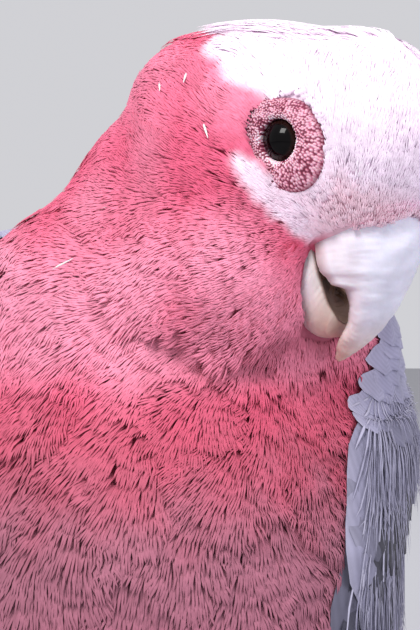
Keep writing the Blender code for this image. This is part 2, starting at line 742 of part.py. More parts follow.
clear_scene()
BIRD, CUTTERS = new_collection("galah"), new_collection("cutters")
head_solid, neck_solid, trunk_solid = parted_flesh()
eyes(head_solid)
bill(head_solid)
crest()
wings()
trunk_room = grown_trunk()
for solid in (tail(), leg("left", 1), leg("right", -1)):
    modify(solid, "DIFFERENCE", trunk_room)
centre_on_floor()
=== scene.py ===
# %% [markdown]
# # A galah, life-size, standing with its head turned
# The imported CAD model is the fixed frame: solid forms of the head, neck, trunk, wings, tail, legs, eyes and
# bill, each where it belongs. This lesson dresses them. One skin lies inside the forms of flesh, thousands of
# small feathers grow out of it, and the bill, eyes, legs and flight feathers are made finer, in their places.

# %% Load the frame
import math

import bmesh
import bpy
import numpy as np
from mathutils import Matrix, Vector
from mathutils.bvhtree import BVHTree
from mathutils.kdtree import KDTree


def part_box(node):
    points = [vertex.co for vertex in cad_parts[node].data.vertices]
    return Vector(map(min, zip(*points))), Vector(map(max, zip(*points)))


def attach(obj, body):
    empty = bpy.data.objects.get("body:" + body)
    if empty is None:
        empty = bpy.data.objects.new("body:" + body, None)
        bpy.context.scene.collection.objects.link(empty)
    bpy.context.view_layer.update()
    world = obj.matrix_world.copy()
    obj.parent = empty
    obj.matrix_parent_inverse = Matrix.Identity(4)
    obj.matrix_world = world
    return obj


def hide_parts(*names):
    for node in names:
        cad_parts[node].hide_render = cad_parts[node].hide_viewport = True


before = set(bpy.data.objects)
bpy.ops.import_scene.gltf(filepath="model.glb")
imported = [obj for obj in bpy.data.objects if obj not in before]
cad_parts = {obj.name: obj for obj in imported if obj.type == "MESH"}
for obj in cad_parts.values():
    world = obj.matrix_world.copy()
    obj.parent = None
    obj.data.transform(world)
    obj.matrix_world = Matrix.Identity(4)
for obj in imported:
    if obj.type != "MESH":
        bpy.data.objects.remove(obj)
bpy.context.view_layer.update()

MM = 0.001

# %% [markdown]
# ## The bird's own measure
# The bird faces -Y, its left is +X and +Z is up. The head has axes of its own: it is turned to the bird's
# left and the bill is lowered. The numbers are those of the CAD source, in millimetres, and the place of the
# whole comes from where the CAD model holds the left eyeball.

# %% Axes of the head
HEAD_TURN, HEAD_DROP = 46.0, 30.0
BETWEEN_EYES = np.array([32.0, -18.0, 204.0])
SIDES = (("left", 1), ("right", -1))


def unit(vectors):
    """Each vector divided by its length."""
    return vectors / np.maximum(np.linalg.norm(vectors, axis=-1, keepdims=True), 1e-9)


def turn_about(axis, degrees):
    """The matrix that turns by an angle about X, Y or Z: cosines on the diagonal, sines beside it."""
    c, s = math.cos(math.radians(degrees)), math.sin(math.radians(degrees))
    first, second = {"X": (1, 2), "Y": (2, 0), "Z": (0, 1)}[axis]
    turn = np.eye(3)
    turn[first, first] = turn[second, second] = c
    turn[second, first], turn[first, second] = s, -s
    return turn


HEAD_AXES = turn_about("Z", HEAD_TURN) @ turn_about("X", HEAD_DROP)


def from_head(points):
    """Points in the head's axes (left, back, up of the point between the eyes), placed in the bird's."""
    return np.asarray(points, float) @ HEAD_AXES.T + BETWEEN_EYES


def in_head(points):
    """The same the other way: points of the bird, in the head's axes."""
    return (points - BETWEEN_EYES) @ HEAD_AXES


# %% [markdown]
# ## Where the eyes are, and with them the whole bird
# The eyes are the surest landmark of a head, so they tie this script to the CAD model. How far the left
# eyeball of this script lies from the box of its CAD node is the bird's place.

# %% An eye's place and axes
EYE_AT, EYE_FACES = (15.6, 0.6, 0.0), (0.99, -0.10, 0.05)
EYE_RADIUS, EYE_PROUD = 3.9, 1.5


def eye_frame(side):
    """Centre of the bare ring round an eye, and the eye's axes: Z looks out of the head and Y is up."""
    outward = unit(np.array(EYE_FACES) * [side, 1, 1])
    up = unit(np.array([0, 0, 1.0]) - outward * outward[2])
    own = np.column_stack([np.cross(up, outward), up, outward])
    return from_head(np.array(EYE_AT) * [side, 1, 1]), HEAD_AXES @ own


def eyeball_centre(side):
    """The ring's centre moved along the eye's axis, so that the ball stands proud of the ring's plane."""
    centre, own = eye_frame(side)
    return centre + own[:, 2] * (EYE_PROUD - EYE_RADIUS)


low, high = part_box("eye_left")
PLACE = np.array((low + high) / 2) / MM - eyeball_centre(1)
print("the bird's origin lies at", np.round(PLACE, 2), "mm")

# %% [markdown]
# ## Smooth curves and small formulas
# A curve through a few points is made of cubic spans with averaged slopes, and a smooth step is 3s^2 - 2s^3.
# wander() is a gentle unevenness: plane waves in random directions, the same at each run because of a seed.

# %% Curves, steps and unevenness


def through(points, t):
    """Smooth curve through the points at shares t of its length: cubic spans with averaged slopes."""
    points = np.asarray(points, float).reshape(len(points), -1)
    steps = np.linalg.norm(np.diff(points, axis=0), axis=1)
    knots = np.concatenate([[0], np.cumsum(steps)]) / steps.sum()
    slopes = np.gradient(points, knots, axis=0)
    t = np.clip(np.asarray(t, float), 0, 1)
    i = np.clip(np.searchsorted(knots, t, side="right") - 1, 0, len(knots) - 2)
    width = (knots[i + 1] - knots[i])[..., None]
    s = (t - knots[i])[..., None] / width
    start, end = points[i] * (1 + 2 * s) * (1 - s) ** 2, points[i + 1] * s * s * (3 - 2 * s)
    return start + slopes[i] * width * s * (1 - s) ** 2 + end + slopes[i + 1] * width * s * s * (s - 1)


def row(values, t):
    """One number per evenly spaced station, read at shares t and straight between the stations."""
    return np.interp(t, np.linspace(0, 1, len(values)), values)


def step(x, start, end):
    """Smooth step: 0 before start, 1 after end, and 3s^2 - 2s^3 between them."""
    s = np.clip((x - start) / (end - start), 0, 1)
    return s * s * (3 - 2 * s)


WAVES, WAVE_SUM = 9, 3.2  # plane waves in wander(), and what brings their sum near -1 to 1


def wander(points, size, seed):
    """Gentle unevenness: the sum of sines along random ways, whose waves are about that many mm long."""
    rng = np.random.default_rng(seed)
    ways = unit(rng.normal(size=(WAVES, 3))) * rng.uniform(0.6, 1.6, (WAVES, 1)) * 2 * math.pi / size
    return np.sin(points @ ways.T + rng.uniform(0, 2 * math.pi, WAVES)).sum(-1) / WAVE_SUM


print("a smooth step a third of the way up:", round(float(step(1 / 3, 0, 1)), 3))


# %% [markdown]
# ## The coat as a level
# A live bird's outline is its plumage. By hand it would take long lists of points, so it is a formula, the
# same as in the CAD source: a soft union of rounded lobes, whose value is 0 on the coat, negative inside and
# about the distance in millimetres outside.

# %% The lobes of the coat
LOBE_BLEND = 3.5
HEAD_LOBES = [  # centre, half-sizes, and the tilt about X which lowers the lobe's back
    ((0, 12, -4.8), (18.5, 18.5, 15.6), 0),
    ((0, -3, 5.5), (13, 15, 13.5), 0),
    ((0, -5, -6), (10.5, 12.5, 9.5), 0),
    ((8, 14, -13), (13, 15, 14), 0),
    ((-8, 14, -13), (13, 15, 14), 0),
    ((0, 13, -21), (9, 9, 9), 0),
    ((0, 25, -7.6), (17, 15, 10.5), 0),
]
BODY_LOBES = [
    ((11.5, -10, 181), (17, 19, 15), 0),
    ((2.5, 6.5, 171.2), (37, 27, 25.2), 0),
    ((0, 8, 150), (40, 31, 26), 0),
    ((0, -6, 132), (36, 33, 40), 0),
    ((0, 8, 108), (37, 36, 36), 15),
    ((0, 28, 132), (33, 23, 44), 26),
    ((0, 17, 82), (34, 34, 38), 24),
    ((0, 56, 82), (24, 19, 38), 50),
    ((0, 46, 60), (23, 19, 30), 58),
    ((0, 82, 55), (15, 8, 26), 66),
    ((3, 8, 192), (16, 17, 18.5), 0),
]
THIGH_LOBES = [((15.5, 21, 57), (15, 15, 17), 0), ((15.5, 23.5, 39), (8.5, 9, 13), -24)]
TAIL_LOBES = [((0, 112, 37.4), (22, 5.0, 62), 65)]


def placed(lobes, axes=np.eye(3), origin=(0, 0, 0)):
    """Each lobe as its centre, its own axes and its half-sizes, all in the bird's frame."""
    return [
        (axes @ np.array(centre, float) + origin, axes @ turn_about("X", tilt), np.array(radii, float))
        for centre, radii, tilt in lobes
    ]


def mirrored(lobes):
    """The same lobes on the bird's other side: x changes its sign."""
    return [((-centre[0], *centre[1:]), radii, tilt) for centre, radii, tilt in lobes]


COAT = placed(HEAD_LOBES, HEAD_AXES, BETWEEN_EYES) + placed(BODY_LOBES)
WING_BED = COAT + placed(TAIL_LOBES)
FLESH = COAT + placed(THIGH_LOBES + mirrored(THIGH_LOBES))


def level(points, lobes):
    """-blend * log(sum(exp(-distance / blend))) over the lobes. For an ellipsoid the distance is taken as
    near * (near - 1) / slope, with near = |q / radii| and slope = |q / radii^2|."""
    total = 0.0
    for centre, own, radii in lobes:
        q = (points - centre) @ own
        near = np.sqrt(((q / radii) ** 2).sum(-1))
        slope = np.sqrt(((q / radii**2) ** 2).sum(-1))
        distance = near * (near - 1) / np.maximum(slope, 1e-6)
        distance = np.where(near < 1e-3, -radii.min(), distance)
        total = total + np.exp(-distance / LOBE_BLEND)
    return -LOBE_BLEND * np.log(total)


def outward(points, lobes=FLESH):
    """Unit normals of the coat: the slope of level() by differences of 0.2 mm either way."""
    small = 0.2
    slope = [level(points + small * e, lobes) - level(points - small * e, lobes) for e in np.eye(3)]
    return unit(np.stack(slope, axis=-1))


def reach(origins, directions, height, lobes, steps=60, pace=0.8):
    """Where rays from inside come to that height over the coat: each step goes a share of the height left."""
    far = np.zeros(directions.shape[:-1])
    for _ in range(steps):
        short = height - level(origins + far[..., None] * directions, lobes)
        far = np.maximum(far + pace * short, 0)
    return origins + far[..., None] * directions


# %% [markdown]
# ## A chart of the body
# To lay things on the body they need two coordinates. A curve runs inside the bird from crown to tail, and
# rays leave it all round, as ribs leave a spine. A place is then a share of the curve and an angle.

# %% The line inside the bird, and rays out of it
LINE_IN_HEAD = [(0, 11, 15.5), (0, 9, 2), (0, 9, -14)]
LINE_IN_BODY = [(7, 2, 174), (1, 6, 152), (0, 10, 128), (0, 22, 100), (0, 46, 76), (0, 94, 52)]
LINE_END = [(0, 136, 31), (0, 176, 12)]
DOME = 0.066  # down to this share of the line, the rays fan out over the crown


def inner_line(t):
    """Points of the line from the crown (t = 0) to the tail's root (t = 1) and on, with its directions."""
    stations = np.vstack([from_head(LINE_IN_HEAD), LINE_IN_BODY, LINE_END])
    steps = np.linalg.norm(np.diff(stations, axis=0), axis=1)
    t = np.asarray(t, float) * steps[: -len(LINE_END)].sum() / steps.sum()
    small = 0.004
    return through(stations, t), unit(through(stations, t + small) - through(stations, t - small))


def across_line(along):
    """The two directions square to the line: towards the breast, and towards the bird's left."""
    front = unit(np.array([0, -1, 0]) + along * along[..., 1:2])
    left = np.cross(along, front)
    return front, left * np.sign(left[..., :1] + 1e-12)


def rays(t, angle):
    """Rays out of the line: angle 0 leaves by the breast, 90 by the left side and 180 by the back."""
    origins, along = inner_line(np.maximum(t, DOME))
    front, left = across_line(along)
    turn = np.radians(angle)[..., None]
    rise = math.pi / 2 * np.clip(1 - np.asarray(t, float) / DOME, 0, 1)[..., None]
    level_ray = np.cos(turn) * front + np.sin(turn) * left
    return origins, np.cos(rise) * level_ray - np.sin(rise) * along


check = reach(*rays(np.array([0.5]), np.array([0.0])), 0, COAT)[0]
print("the breast stands at", np.round((check + PLACE), 1), "mm")

# %% [markdown]
# ## From arrays to a mesh
# Every piece is worked out as whole numpy arrays and put into Blender in one go. Its colours are kept as the
# attribute Tint, which the materials read, and it can have UV maps of its own.

# %% Mesh, grid and node helpers


def srgb(hexadecimal):
    """An sRGB hex colour as linear red, green and blue."""
    value = np.array([int(hexadecimal[i : i + 2], 16) / 255 for i in (0, 2, 4)])
    return np.where(value > 0.04045, ((value + 0.055) / 1.055) ** 2.4, value / 12.92)


def full_turn(sides):
    """Angles once round, in radians."""
    return np.linspace(0, 2 * math.pi, sides, endpoint=False)


def grid_faces(rows, columns, closed=False):
    """Quads of a grid whose points run row by row; closed joins the last column to the first."""
    i, j = np.meshgrid(np.arange(rows - 1), np.arange(columns - (not closed)), indexing="ij")
    a, b = i * columns + j, i * columns + (j + 1) % columns
    return np.stack([a, b, b + columns, a + columns], axis=-1).reshape(-1, 4)


def placed_in_scene(name, data):
    """A new object that holds the data, linked into the scene."""
    made = bpy.data.objects.new(name, data)
    bpy.context.scene.collection.objects.link(made)
    return made


def new_piece(name, points, faces, finish, tint=None, uv=None, smooth=True):
    """One mesh object from points in millimetres. Faces are one array or a list of arrays; uv (a dictionary
    of maps) and tint have one entry per point."""
    faces = [np.asarray(f) for f in (faces if isinstance(faces, list) else [faces])]
    corners = np.concatenate([f.ravel() for f in faces]).astype(np.int32)
    sizes = np.concatenate([np.full(len(f), f.shape[1]) for f in faces])
    starts = np.concatenate([[0], np.cumsum(sizes)[:-1]]).astype(np.int32)
    mesh = bpy.data.meshes.new(name)
    mesh.vertices.add(len(points))
    mesh.vertices.foreach_set("co", ((points + PLACE) * MM).astype(np.float32).ravel())
    mesh.loops.add(len(corners))
    mesh.loops.foreach_set("vertex_index", corners)
    mesh.polygons.add(len(sizes))
    mesh.polygons.foreach_set("loop_start", starts)
    mesh.update(calc_edges=True)
    if tint is not None:
        colours = np.ones((len(points), 4), np.float32)
        colours[:, :3] = np.clip(tint, 0, 1)
        layer = mesh.color_attributes.new("Tint", "FLOAT_COLOR", "POINT")
        layer.data.foreach_set("color", colours.ravel())
    for title, places in (uv or {}).items():
        layer = mesh.uv_layers.new(name=title)
        layer.data.foreach_set("uv", places[corners].astype(np.float32).ravel())
    mesh.polygons.foreach_set("use_smooth", np.full(len(sizes), smooth))
    mesh.materials.append(finish)
    return placed_in_scene(name, mesh)


def closed_rings(rings):
    """Points and faces of a row of closed rings, with a fan of faces over each end."""
    count, sides = rings.shape[:2]
    points = np.vstack([rings.reshape(-1, 3), rings[0].mean(0), rings[-1].mean(0)])
    j = np.arange(sides)
    k = (j + 1) % sides
    low = (count - 1) * sides
    first = np.stack([np.full(sides, count * sides), k, j], axis=1)
    last = np.stack([np.full(sides, count * sides + 1), low + j, low + k], axis=1)
    return points, [grid_faces(count, sides, closed=True), first, last]


def faces_out(piece):
    """Turns the faces of a closed piece outwards, after its doubles are merged, and hands it on."""
    work = bmesh.new()
    work.from_mesh(piece.data)
    bmesh.ops.remove_doubles(work, verts=work.verts, dist=0.004 * MM)
    bmesh.ops.recalc_face_normals(work, faces=work.faces)
    work.to_mesh(piece.data)
    work.free()
    return piece


def finish_piece(piece, slot, *nodes):
    """The piece rides on the one body and stands for those CAD nodes, which are hidden; slot is not used."""
    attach(piece, "root")
    if nodes:
        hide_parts(*nodes)
    triangles = sum(len(p.vertices) - 2 for p in piece.data.polygons)
    print(f"{piece.name}: {triangles} triangles")
    return triangles


def add_node(tree, kind, inputs=None, **settings):
    """Adds a shader node; inputs maps a socket's name or number to a value or to a socket to link."""
    made = tree.nodes.new(kind)
    for name, value in settings.items():
        setattr(made, name, value)
    for name, value in (inputs or {}).items():
        if isinstance(value, bpy.types.NodeSocket):
            tree.links.new(value, made.inputs[name])
        else:
            made.inputs[name].default_value = value
    return made


def new_material(name, roughness, **sockets):
    """A material and its Principled shader, with constants set straight on the shader's sockets."""
    made = bpy.data.materials.new(name)
    made.use_nodes = True
    shader = made.node_tree.nodes["Principled BSDF"]
    shader.inputs["Roughness"].default_value = roughness
    for socket, value in sockets.items():
        shader.inputs[socket.replace("_", " ")].default_value = value
    return made, made.node_tree, shader


def tint_times_noise(tree, size, amount, detail=3.0):
    """The Tint attribute, made lighter and darker by noise whose grains are that many millimetres."""
    tint = add_node(tree, "ShaderNodeVertexColor", layer_name="Tint")
    place = add_node(tree, "ShaderNodeTexCoord")
    sockets = {"Vector": place.outputs["Object"], "Scale": 1 / (size * MM), "Detail": detail}
    noise = add_node(tree, "ShaderNodeTexNoise", sockets)
    sockets = {"Value": noise.outputs["Fac"], "From Min": 0.3, "From Max": 0.7}
    sockets |= {"To Min": 1 - amount, "To Max": 1 + amount}
    span = add_node(tree, "ShaderNodeMapRange", sockets)
    sockets = {0: tint.outputs["Color"], 1: span.outputs["Result"]}
    made = add_node(tree, "ShaderNodeVectorMath", sockets, operation="MULTIPLY")
    return made.outputs["Vector"], place


# %% [markdown]
# ## Finishes of the feathers
# Feather is keratin full of air: matt, with a faint sheen where its barbs catch light. The colours change in
# zones that no pattern node could follow, so they are in the attribute Tint, and the nodes only add grains
# finer than the mesh. A vane also gets the fine lines of its barbs.

# %% Materials of the feathers


def feather_finish(name, roughness, grain, amount):
    """Matt barbs: the tint, made lighter and darker by that amount in grains of that many millimetres."""
    made, tree, shader = new_material(
        name, roughness, Specular_IOR_Level=0.2, Sheen_Weight=0.05, Sheen_Roughness=0.5
    )
    colour, _place = tint_times_noise(tree, grain, amount)
    tree.links.new(colour, shader.inputs["Base Color"])
    return made


# Loose barbs over down, frayed by wear: they scatter light and look soft and matt.
PLUMAGE = feather_finish("contour feather barbs", 0.62, 1.2, 0.10)
# The crest's barbs are long and lie straight, so it looks smoother and more even than the rest.
CREST_FEATHER = feather_finish("crest feather barbs", 0.6, 1.5, 0.05)
# Skin under grey down, seen only through gaps of the coat: fully matt, with soft blotches. The tints it is
# given are painted shade, and under the wings also the feathers' dark bases.
BODY_SKIN = feather_finish("feathered skin and down", 0.85, 2.0, 0.15)

# %% Materials of the vanes
BARB_PITCH = 0.9  # mm; real barbs are about 0.4 mm apart, and are drawn coarser so that they show
WAVE_LENGTH = math.pi / 10  # of the Wave node's bands, in its own unit, at scale 1


def vane_finish(name, roughness):
    """Barbs that run out from the shaft, hooked into one sheet: a fine wave along the piece's own Vane map,
    which is in millimetres across and along the feather."""
    made, tree, shader = new_material(name, roughness, Specular_IOR_Level=0.3, Sheen_Weight=0.1)
    colour, _place = tint_times_noise(tree, 4.0, 0.08)
    vane = add_node(tree, "ShaderNodeUVMap", uv_map="Vane")
    sockets = {"Vector": vane.outputs["UV"], "Scale": WAVE_LENGTH / BARB_PITCH}
    sockets |= {"Distortion": 1.2, "Detail": 2.0, "Detail Scale": 0.6}
    wave = add_node(tree, "ShaderNodeTexWave", sockets, wave_type="BANDS", bands_direction="Y")
    sockets = {"Value": wave.outputs["Fac"], "To Min": 0.93, "To Max": 1.05}
    shade = add_node(tree, "ShaderNodeMapRange", sockets)
    sockets = {0: colour, 1: shade.outputs["Result"]}
    barred = add_node(tree, "ShaderNodeVectorMath", sockets, operation="MULTIPLY")
    tree.links.new(barred.outputs["Vector"], shader.inputs["Base Color"])
    sockets = {"Height": wave.outputs["Fac"], "Strength": 0.25, "Distance": 0.08 * MM}
    bump = add_node(tree, "ShaderNodeBump", sockets)
    tree.links.new(bump.outputs["Normal"], shader.inputs["Normal"])
    return made


# Coverts are soft vanes with a powdery bloom: fine lines and a dull sheen.
WING_VANE = vane_finish("wing covert vane", 0.55)
# Flight feathers are stiff and tightly hooked, a little glossier.
FLIGHT_VANE = vane_finish("flight feather vane", 0.5)

# %% [markdown]
# ## Finishes of the hard and bare parts
# Bill and claw are solid keratin that grows forward in layers, smooth and slightly waxy, and light goes a
# little way in. Ring, tongue and legs are bare skin, whose surface is small cells. Noise drawn out along the
# growth makes the layers, and a Voronoi pattern makes the cells.

# %% Materials of the hard and bare parts


def keratin_finish(name, roughness, flake, amount, depth):
    """Horn: noise of flakes of that size in mm, drawn out along the growth and raised by that depth."""
    made, tree, shader = new_material(
        name, roughness, Specular_IOR_Level=0.45, Subsurface_Weight=0.12, Subsurface_Scale=0.002
    )
    colour, place = tint_times_noise(tree, flake, amount, 6.0)
    tree.links.new(colour, shader.inputs["Base Color"])
    sockets = {"Vector": place.outputs["Object"], "Scale": (1.0, 1.0, 0.35)}
    stretched = add_node(tree, "ShaderNodeMapping", sockets)
    sockets = {"Vector": stretched.outputs["Vector"], "Scale": 1 / (flake * 0.6 * MM)}
    sockets |= {"Detail": 8.0, "Roughness": 0.7}
    layers = add_node(tree, "ShaderNodeTexNoise", sockets)
    sockets = {"Height": layers.outputs["Fac"], "Strength": 0.6, "Distance": depth * MM}
    bump = add_node(tree, "ShaderNodeBump", sockets)
    tree.links.new(bump.outputs["Normal"], shader.inputs["Normal"])
    return made


def bare_skin_finish(name, roughness, grain, amount, depth):
    """Cells of that size in millimetres, raised by that depth, on a soft, slightly moist body."""
    made, tree, shader = new_material(
        name, roughness, Specular_IOR_Level=0.4, Subsurface_Weight=0.15, Subsurface_Scale=0.0015
    )
    colour, place = tint_times_noise(tree, grain, amount)
    tree.links.new(colour, shader.inputs["Base Color"])
    sockets = {"Vector": place.outputs["Object"], "Scale": 1 / (grain * MM)}
    cells = add_node(tree, "ShaderNodeTexVoronoi", sockets)
    sockets = {"Height": cells.outputs["Distance"], "Strength": 0.5, "Distance": depth * MM}
    bump = add_node(tree, "ShaderNodeBump", sockets)
    tree.links.new(bump.outputs["Normal"], shader.inputs["Normal"])
    return made


# Worn horn that flakes at its edges: bone white, satin, with soft streaks.
BILL_HORN = keratin_finish("bill keratin, bone white", 0.38, 2.4, 0.06, 0.12)
# Claws are polished by use and darker, with finer layers.
CLAW_HORN = keratin_finish("claw keratin, grey", 0.35, 1.6, 0.12, 0.06)
# Dry fleshy grains round the eye: a dull gloss on each grain, matt between.
RING_SKIN = bare_skin_finish("bare skin round the eye", 0.45, 0.5, 0.12, 0.08)
# Horny scales over thin skin, dusty and matt.
LEG_SKIN = bare_skin_finish("scaly leg skin", 0.6, 0.7, 0.12, 0.06)
# A parrot's tongue is dry and leathery, its mouth lining smooth.
MOUTH_SKIN = bare_skin_finish("tongue and mouth lining", 0.5, 0.8, 0.15, 0.08)


def eye_finish():
    """A wet eye: the iris' colour under a clear coat with the cornea's IOR, for small sharp highlights."""
    coat = {"Coat_Weight": 0.42, "Coat_Roughness": 0.02, "Coat_IOR": 1.376}
    made, tree, shader = new_material("cornea over a dark iris", 0.25, Specular_IOR_Level=0.02, **coat)
    colour, _place = tint_times_noise(tree, 0.3, 0.2)
    tree.links.new(colour, shader.inputs["Base Color"])
    return made


EYE_WET = eye_finish()
print("finishes:", len(bpy.data.materials))

# %% [markdown]
# ## The colours of the plumage
# A galah has a pale cap, a rose face, neck and breast, and grey wings, back and tail. One function gives the
# colour at any place, for the skin and the feathers on it, so their markings agree. Zones are smooth steps on
# the head's own axes and along the body's line.

# %% Place on the body's line
STATIONS = np.linspace(0, 1.3, 261)  # shares of the line from crown to tail root, and on into the tail
LINE_POINTS, LINE_WAYS = inner_line(STATIONS)


def on_line(points):
    """Share of the line nearest to each point, the angle round it in degrees, and that station's number."""
    nearest = np.empty(len(points), int)
    for start in range(0, len(points), 20000):
        part = points[start : start + 20000]
        far = ((part[:, None] - LINE_POINTS) ** 2).sum(-1)
        nearest[start : start + 20000] = far.argmin(1)
    front, left = across_line(LINE_WAYS[nearest])
    away = points - LINE_POINTS[nearest]
    angle = np.degrees(np.arctan2((away * left).sum(-1), (away * front).sum(-1)))
    return STATIONS[nearest], angle, nearest


# %% Zones of the head
CAP, FACE_PALE, LORE = srgb("FBE8FA"), srgb("FFE4F6"), srgb("FFD9E8")
# The deep rose and the belly's colour are partly painted shade: the lower body and the throat lie in shade.
ROSE, ROSE_PALE, ROSE_DEEP_SHADED = srgb("E46284"), srgb("EE92AE"), srgb("C24F68")
SHADED_BELLY, BACK, VENT, MOUTH = srgb("A8697C"), srgb("A9A8B8"), srgb("C4C0C9"), srgb("A98A76")


def blend(first, second, share):
    """The first colour where share is 0 and the second where it is 1; either may be one for all points."""
    return first * (1 - share[:, None]) + second * share[:, None]


def pale_cheek(points):
    """The pale wedge behind the bill's corner: 1 near a line slanting up the cheek, 0 past a ragged rim."""
    x, y, z = in_head(points).T
    along = np.clip((y + 8.5) / 11.0, 0, 1)
    middle = -9.8 + 4.2 * along**1.3
    half = 3.3 - 1.7 * along + 0.4 * wander(points, 4, 23)
    off = np.hypot(z - middle, 0.9 * np.clip(y - 2.5, 0, None) + 0.9 * np.clip(-8.5 - y, 0, None))
    return step(off, half + 1.4, half - 1.0) * step(np.abs(x), 8, 11)


def cap_share(points):
    """1 on the white cap and forehead, whose plumage is short and smooth: steps up and back on the head."""
    _x, y, z = in_head(points).T
    cap = step(z + 0.5 * wander(points, 9, 21), 0.0, 4.0) * step(y, 27, 22)
    return np.maximum(cap, 0.85 * step(y, 1.5, -4.5) * step(z, -6, -1))


def in_mouth(points):
    """Share of the open mouth, whose lining is bare: a box with soft sides between the halves of the bill."""
    x, y, z = in_head(points).T
    return step(np.abs(x), 7.5, 6.0) * step(-y, 7, 9) * step(z, -29, -26) * step(z, -9.5, -12)


# %% Plumage colour of any place


def plumage(points):
    """Linear colour of the feathers at each point: each zone is blended over those before it."""
    t, angle, _nearest = on_line(points)
    _x, y, z = in_head(points).T
    up = points[:, 2]
    rough = wander(points, 9, 21)
    # Rose all over, paler in clouds and along the ruff's lower rim.
    ruff_rim = 0.75 * step(up, 192, 178) * step(up, 160, 168)
    colour = blend(ROSE, ROSE_PALE, np.clip(0.25 + 0.30 * wander(points, 22, 22) + ruff_rim, 0, 1))
    # Deeper down the breast: the underparts' own deeper rose with painted shade as the body turns under.
    # Painted shade on the throat below the bill, and on the belly its own duller pink under painted shade.
    colour = blend(colour, ROSE_DEEP_SHADED, step(up, 172, 152) * 0.85)
    colour = blend(colour, ROSE_DEEP_SHADED, step(y, 6, -14) * step(z, -16, -30) * 0.3)
    colour = blend(colour, SHADED_BELLY, step(up + 2.0 * rough, 160, 133))
    # Grey on the back, and pale grey under the tail.
    back = step(np.abs(angle), 112, 138) * step(t, 0.36, 0.46)
    colour = blend(colour, BACK, np.clip(back + step(t, 0.84, 0.93), 0, 1))
    colour = blend(colour, VENT, step(t, 0.80, 0.9) * step(np.abs(angle), 120, 70))
    # The face: its pale wedge and front, then the white cap, the lores and the mouth's lining.
    colour = blend(colour, FACE_PALE, pale_cheek(points))
    forward = step(y, 1.5, -4.5) * step(z, -9.5, -6.5)
    colour = blend(colour, FACE_PALE, forward)
    above = step(z + 0.5 * rough, 3.0, 5.2) * step(y - 0.35 * np.clip(z - 8, 0, None), 28.0, 24.0)
    colour = blend(colour, CAP, np.maximum(above, forward * step(z, -2.5, 4)))
    lores = step(y, -7, -13) * step(z, 2.5, -3.5) * step(z, -14, -10)
    return blend(blend(colour, LORE, lores), MOUTH, in_mouth(points))


# %% Shade between the barbs
CONTRAST_FROM_BILL = [6, 12, 20, 60, 90, 120]  # mm, for the row below
CONTRASTS = [0.42, 0.64, 0.90, 0.74, 0.42, 0.20]
BARB_SHADE, BARB_POWER = 0.42, 1.7


def contrast_at(points):
    """How dark the painted shade in the slits between locks is: deep on cheek and breast, faint on the cap,
    back and belly.
    """
    t, angle, _nearest = on_line(points)
    strength = np.interp(from_bill(points), CONTRAST_FROM_BILL, CONTRASTS)
    strength = strength * (1 - 0.97 * cap_share(points)) * (1 - 0.85 * pale_cheek(points))
    behind = step(np.abs(angle), 70, 120) * step(t, 0.28, 0.4)
    return strength * (1 - 0.55 * behind) * (1 - 0.45 * step(points[:, 2], 146, 122))


def deepened(colour, dark):
    """The colour of the same barbs in their own shade: a power above 1 deepens its hue as it darkens."""
    dark = np.clip(dark, 0, 1)[..., None]
    return colour * (1 - dark) + BARB_SHADE * colour**BARB_POWER * dark


print("rose in its own shade:", np.round(deepened(ROSE[None], np.ones(1)), 3))


# %% [markdown]
# ## The bare ring's outline
# The ring round the eye is an egg, not a circle, and it follows the side of the head. Its rim is a distance
# and a height at twelve directions with a smooth curve through them, for skin, roots and ring alike.

# %% The bare ring's outline, which the skin sinks under
RING_OUTER, RING_THICK = 7.3, 1.8
# The rim every 30 degrees from straight ahead over the top: its distance from the eye's middle, and how far
# it stands out of the eye's plane as it follows the side of the head.
RING_RADII = [8.9, 8.1, 7.3, 7.2, 6.8, 7.2, 6.9, 6.3, 6.1, 6.3, 8.0, 9.2]
RING_LIFTS = [-0.8, -0.8, -0.8, -0.7, -0.3, 0.3, 1.2, 1.7, 1.7, 1.0, 0.1, -0.7]


def around(values, angles):
    """One number per evenly spaced direction, read at any angle on smooth cubic spans that close."""
    values = np.asarray(values, float)
    place = angles / (2 * math.pi) * len(values)
    i = np.floor(place).astype(int)
    s = place - i
    a, b, c, d = (values[(i + k) % len(values)] for k in (-1, 0, 1, 2))
    return b + 0.5 * s * (c - a + s * (2 * a - 5 * b + 4 * c - d + s * (3 * (b - c) + d - a)))


def oval(points, side):
    """Draws a disc out to the ring's own outline and bends it to the head, more so towards its rim."""
    angles = np.arctan2(points[..., 1], -side * points[..., 0])
    out = np.linalg.norm(points[..., :2], axis=-1)
    share = np.clip((out - EYE_RADIUS) / (RING_OUTER - EYE_RADIUS), 0, 1)
    wider = 1 + (around(RING_RADII, angles) / RING_OUTER - 1) * share
    drawn = points * np.stack([wider, wider, np.ones_like(wider)], axis=-1)
    drawn[..., 2] += around(RING_LIFTS, angles) * share**2
    return drawn


FAR = 99.0  # stands for a distance too great to matter
NEAR_EYE = 8.0  # mm along the eye's axis within which a point can belong to its ring


def in_eye(points, side):
    """Points in an eye's own axes, the way round it in radians, and the distance from its axis."""
    centre, own = eye_frame(side)
    local = (points - centre) @ own
    return local, np.arctan2(local[:, 1], -side * local[:, 0]), np.linalg.norm(local[:, :2], axis=1)


def rim_gap(points):
    """Distance outside the nearer ring's rim, in the eye's own plane, and the way round it in radians."""
    gap, way = np.full(len(points), FAR), np.zeros(len(points))
    for side in (1, -1):
        local, angle, out = in_eye(points, side)
        found = out - around(RING_RADII, angle)
        here = (np.abs(local[:, 2]) < NEAR_EYE) & (found < gap)
        gap, way = np.where(here, found, gap), np.where(here, angle, way)
    return gap, way


def behind_eye(way):
    """1 for directions up and back from the eye round to straight below it, and 0 in front."""
    turned = np.degrees(way) % 360
    return step(turned, 100, 140) * step(turned, 305, 280)


# %% [markdown]
# ## How deep the skin lies, and how large the feathers are
# On a parrot the feathers are tiny at the bill and grow longer towards the tail. One table says so: by the
# distance from the bill it gives the coat's depth, the size of its barbs and the spacing of its feathers.

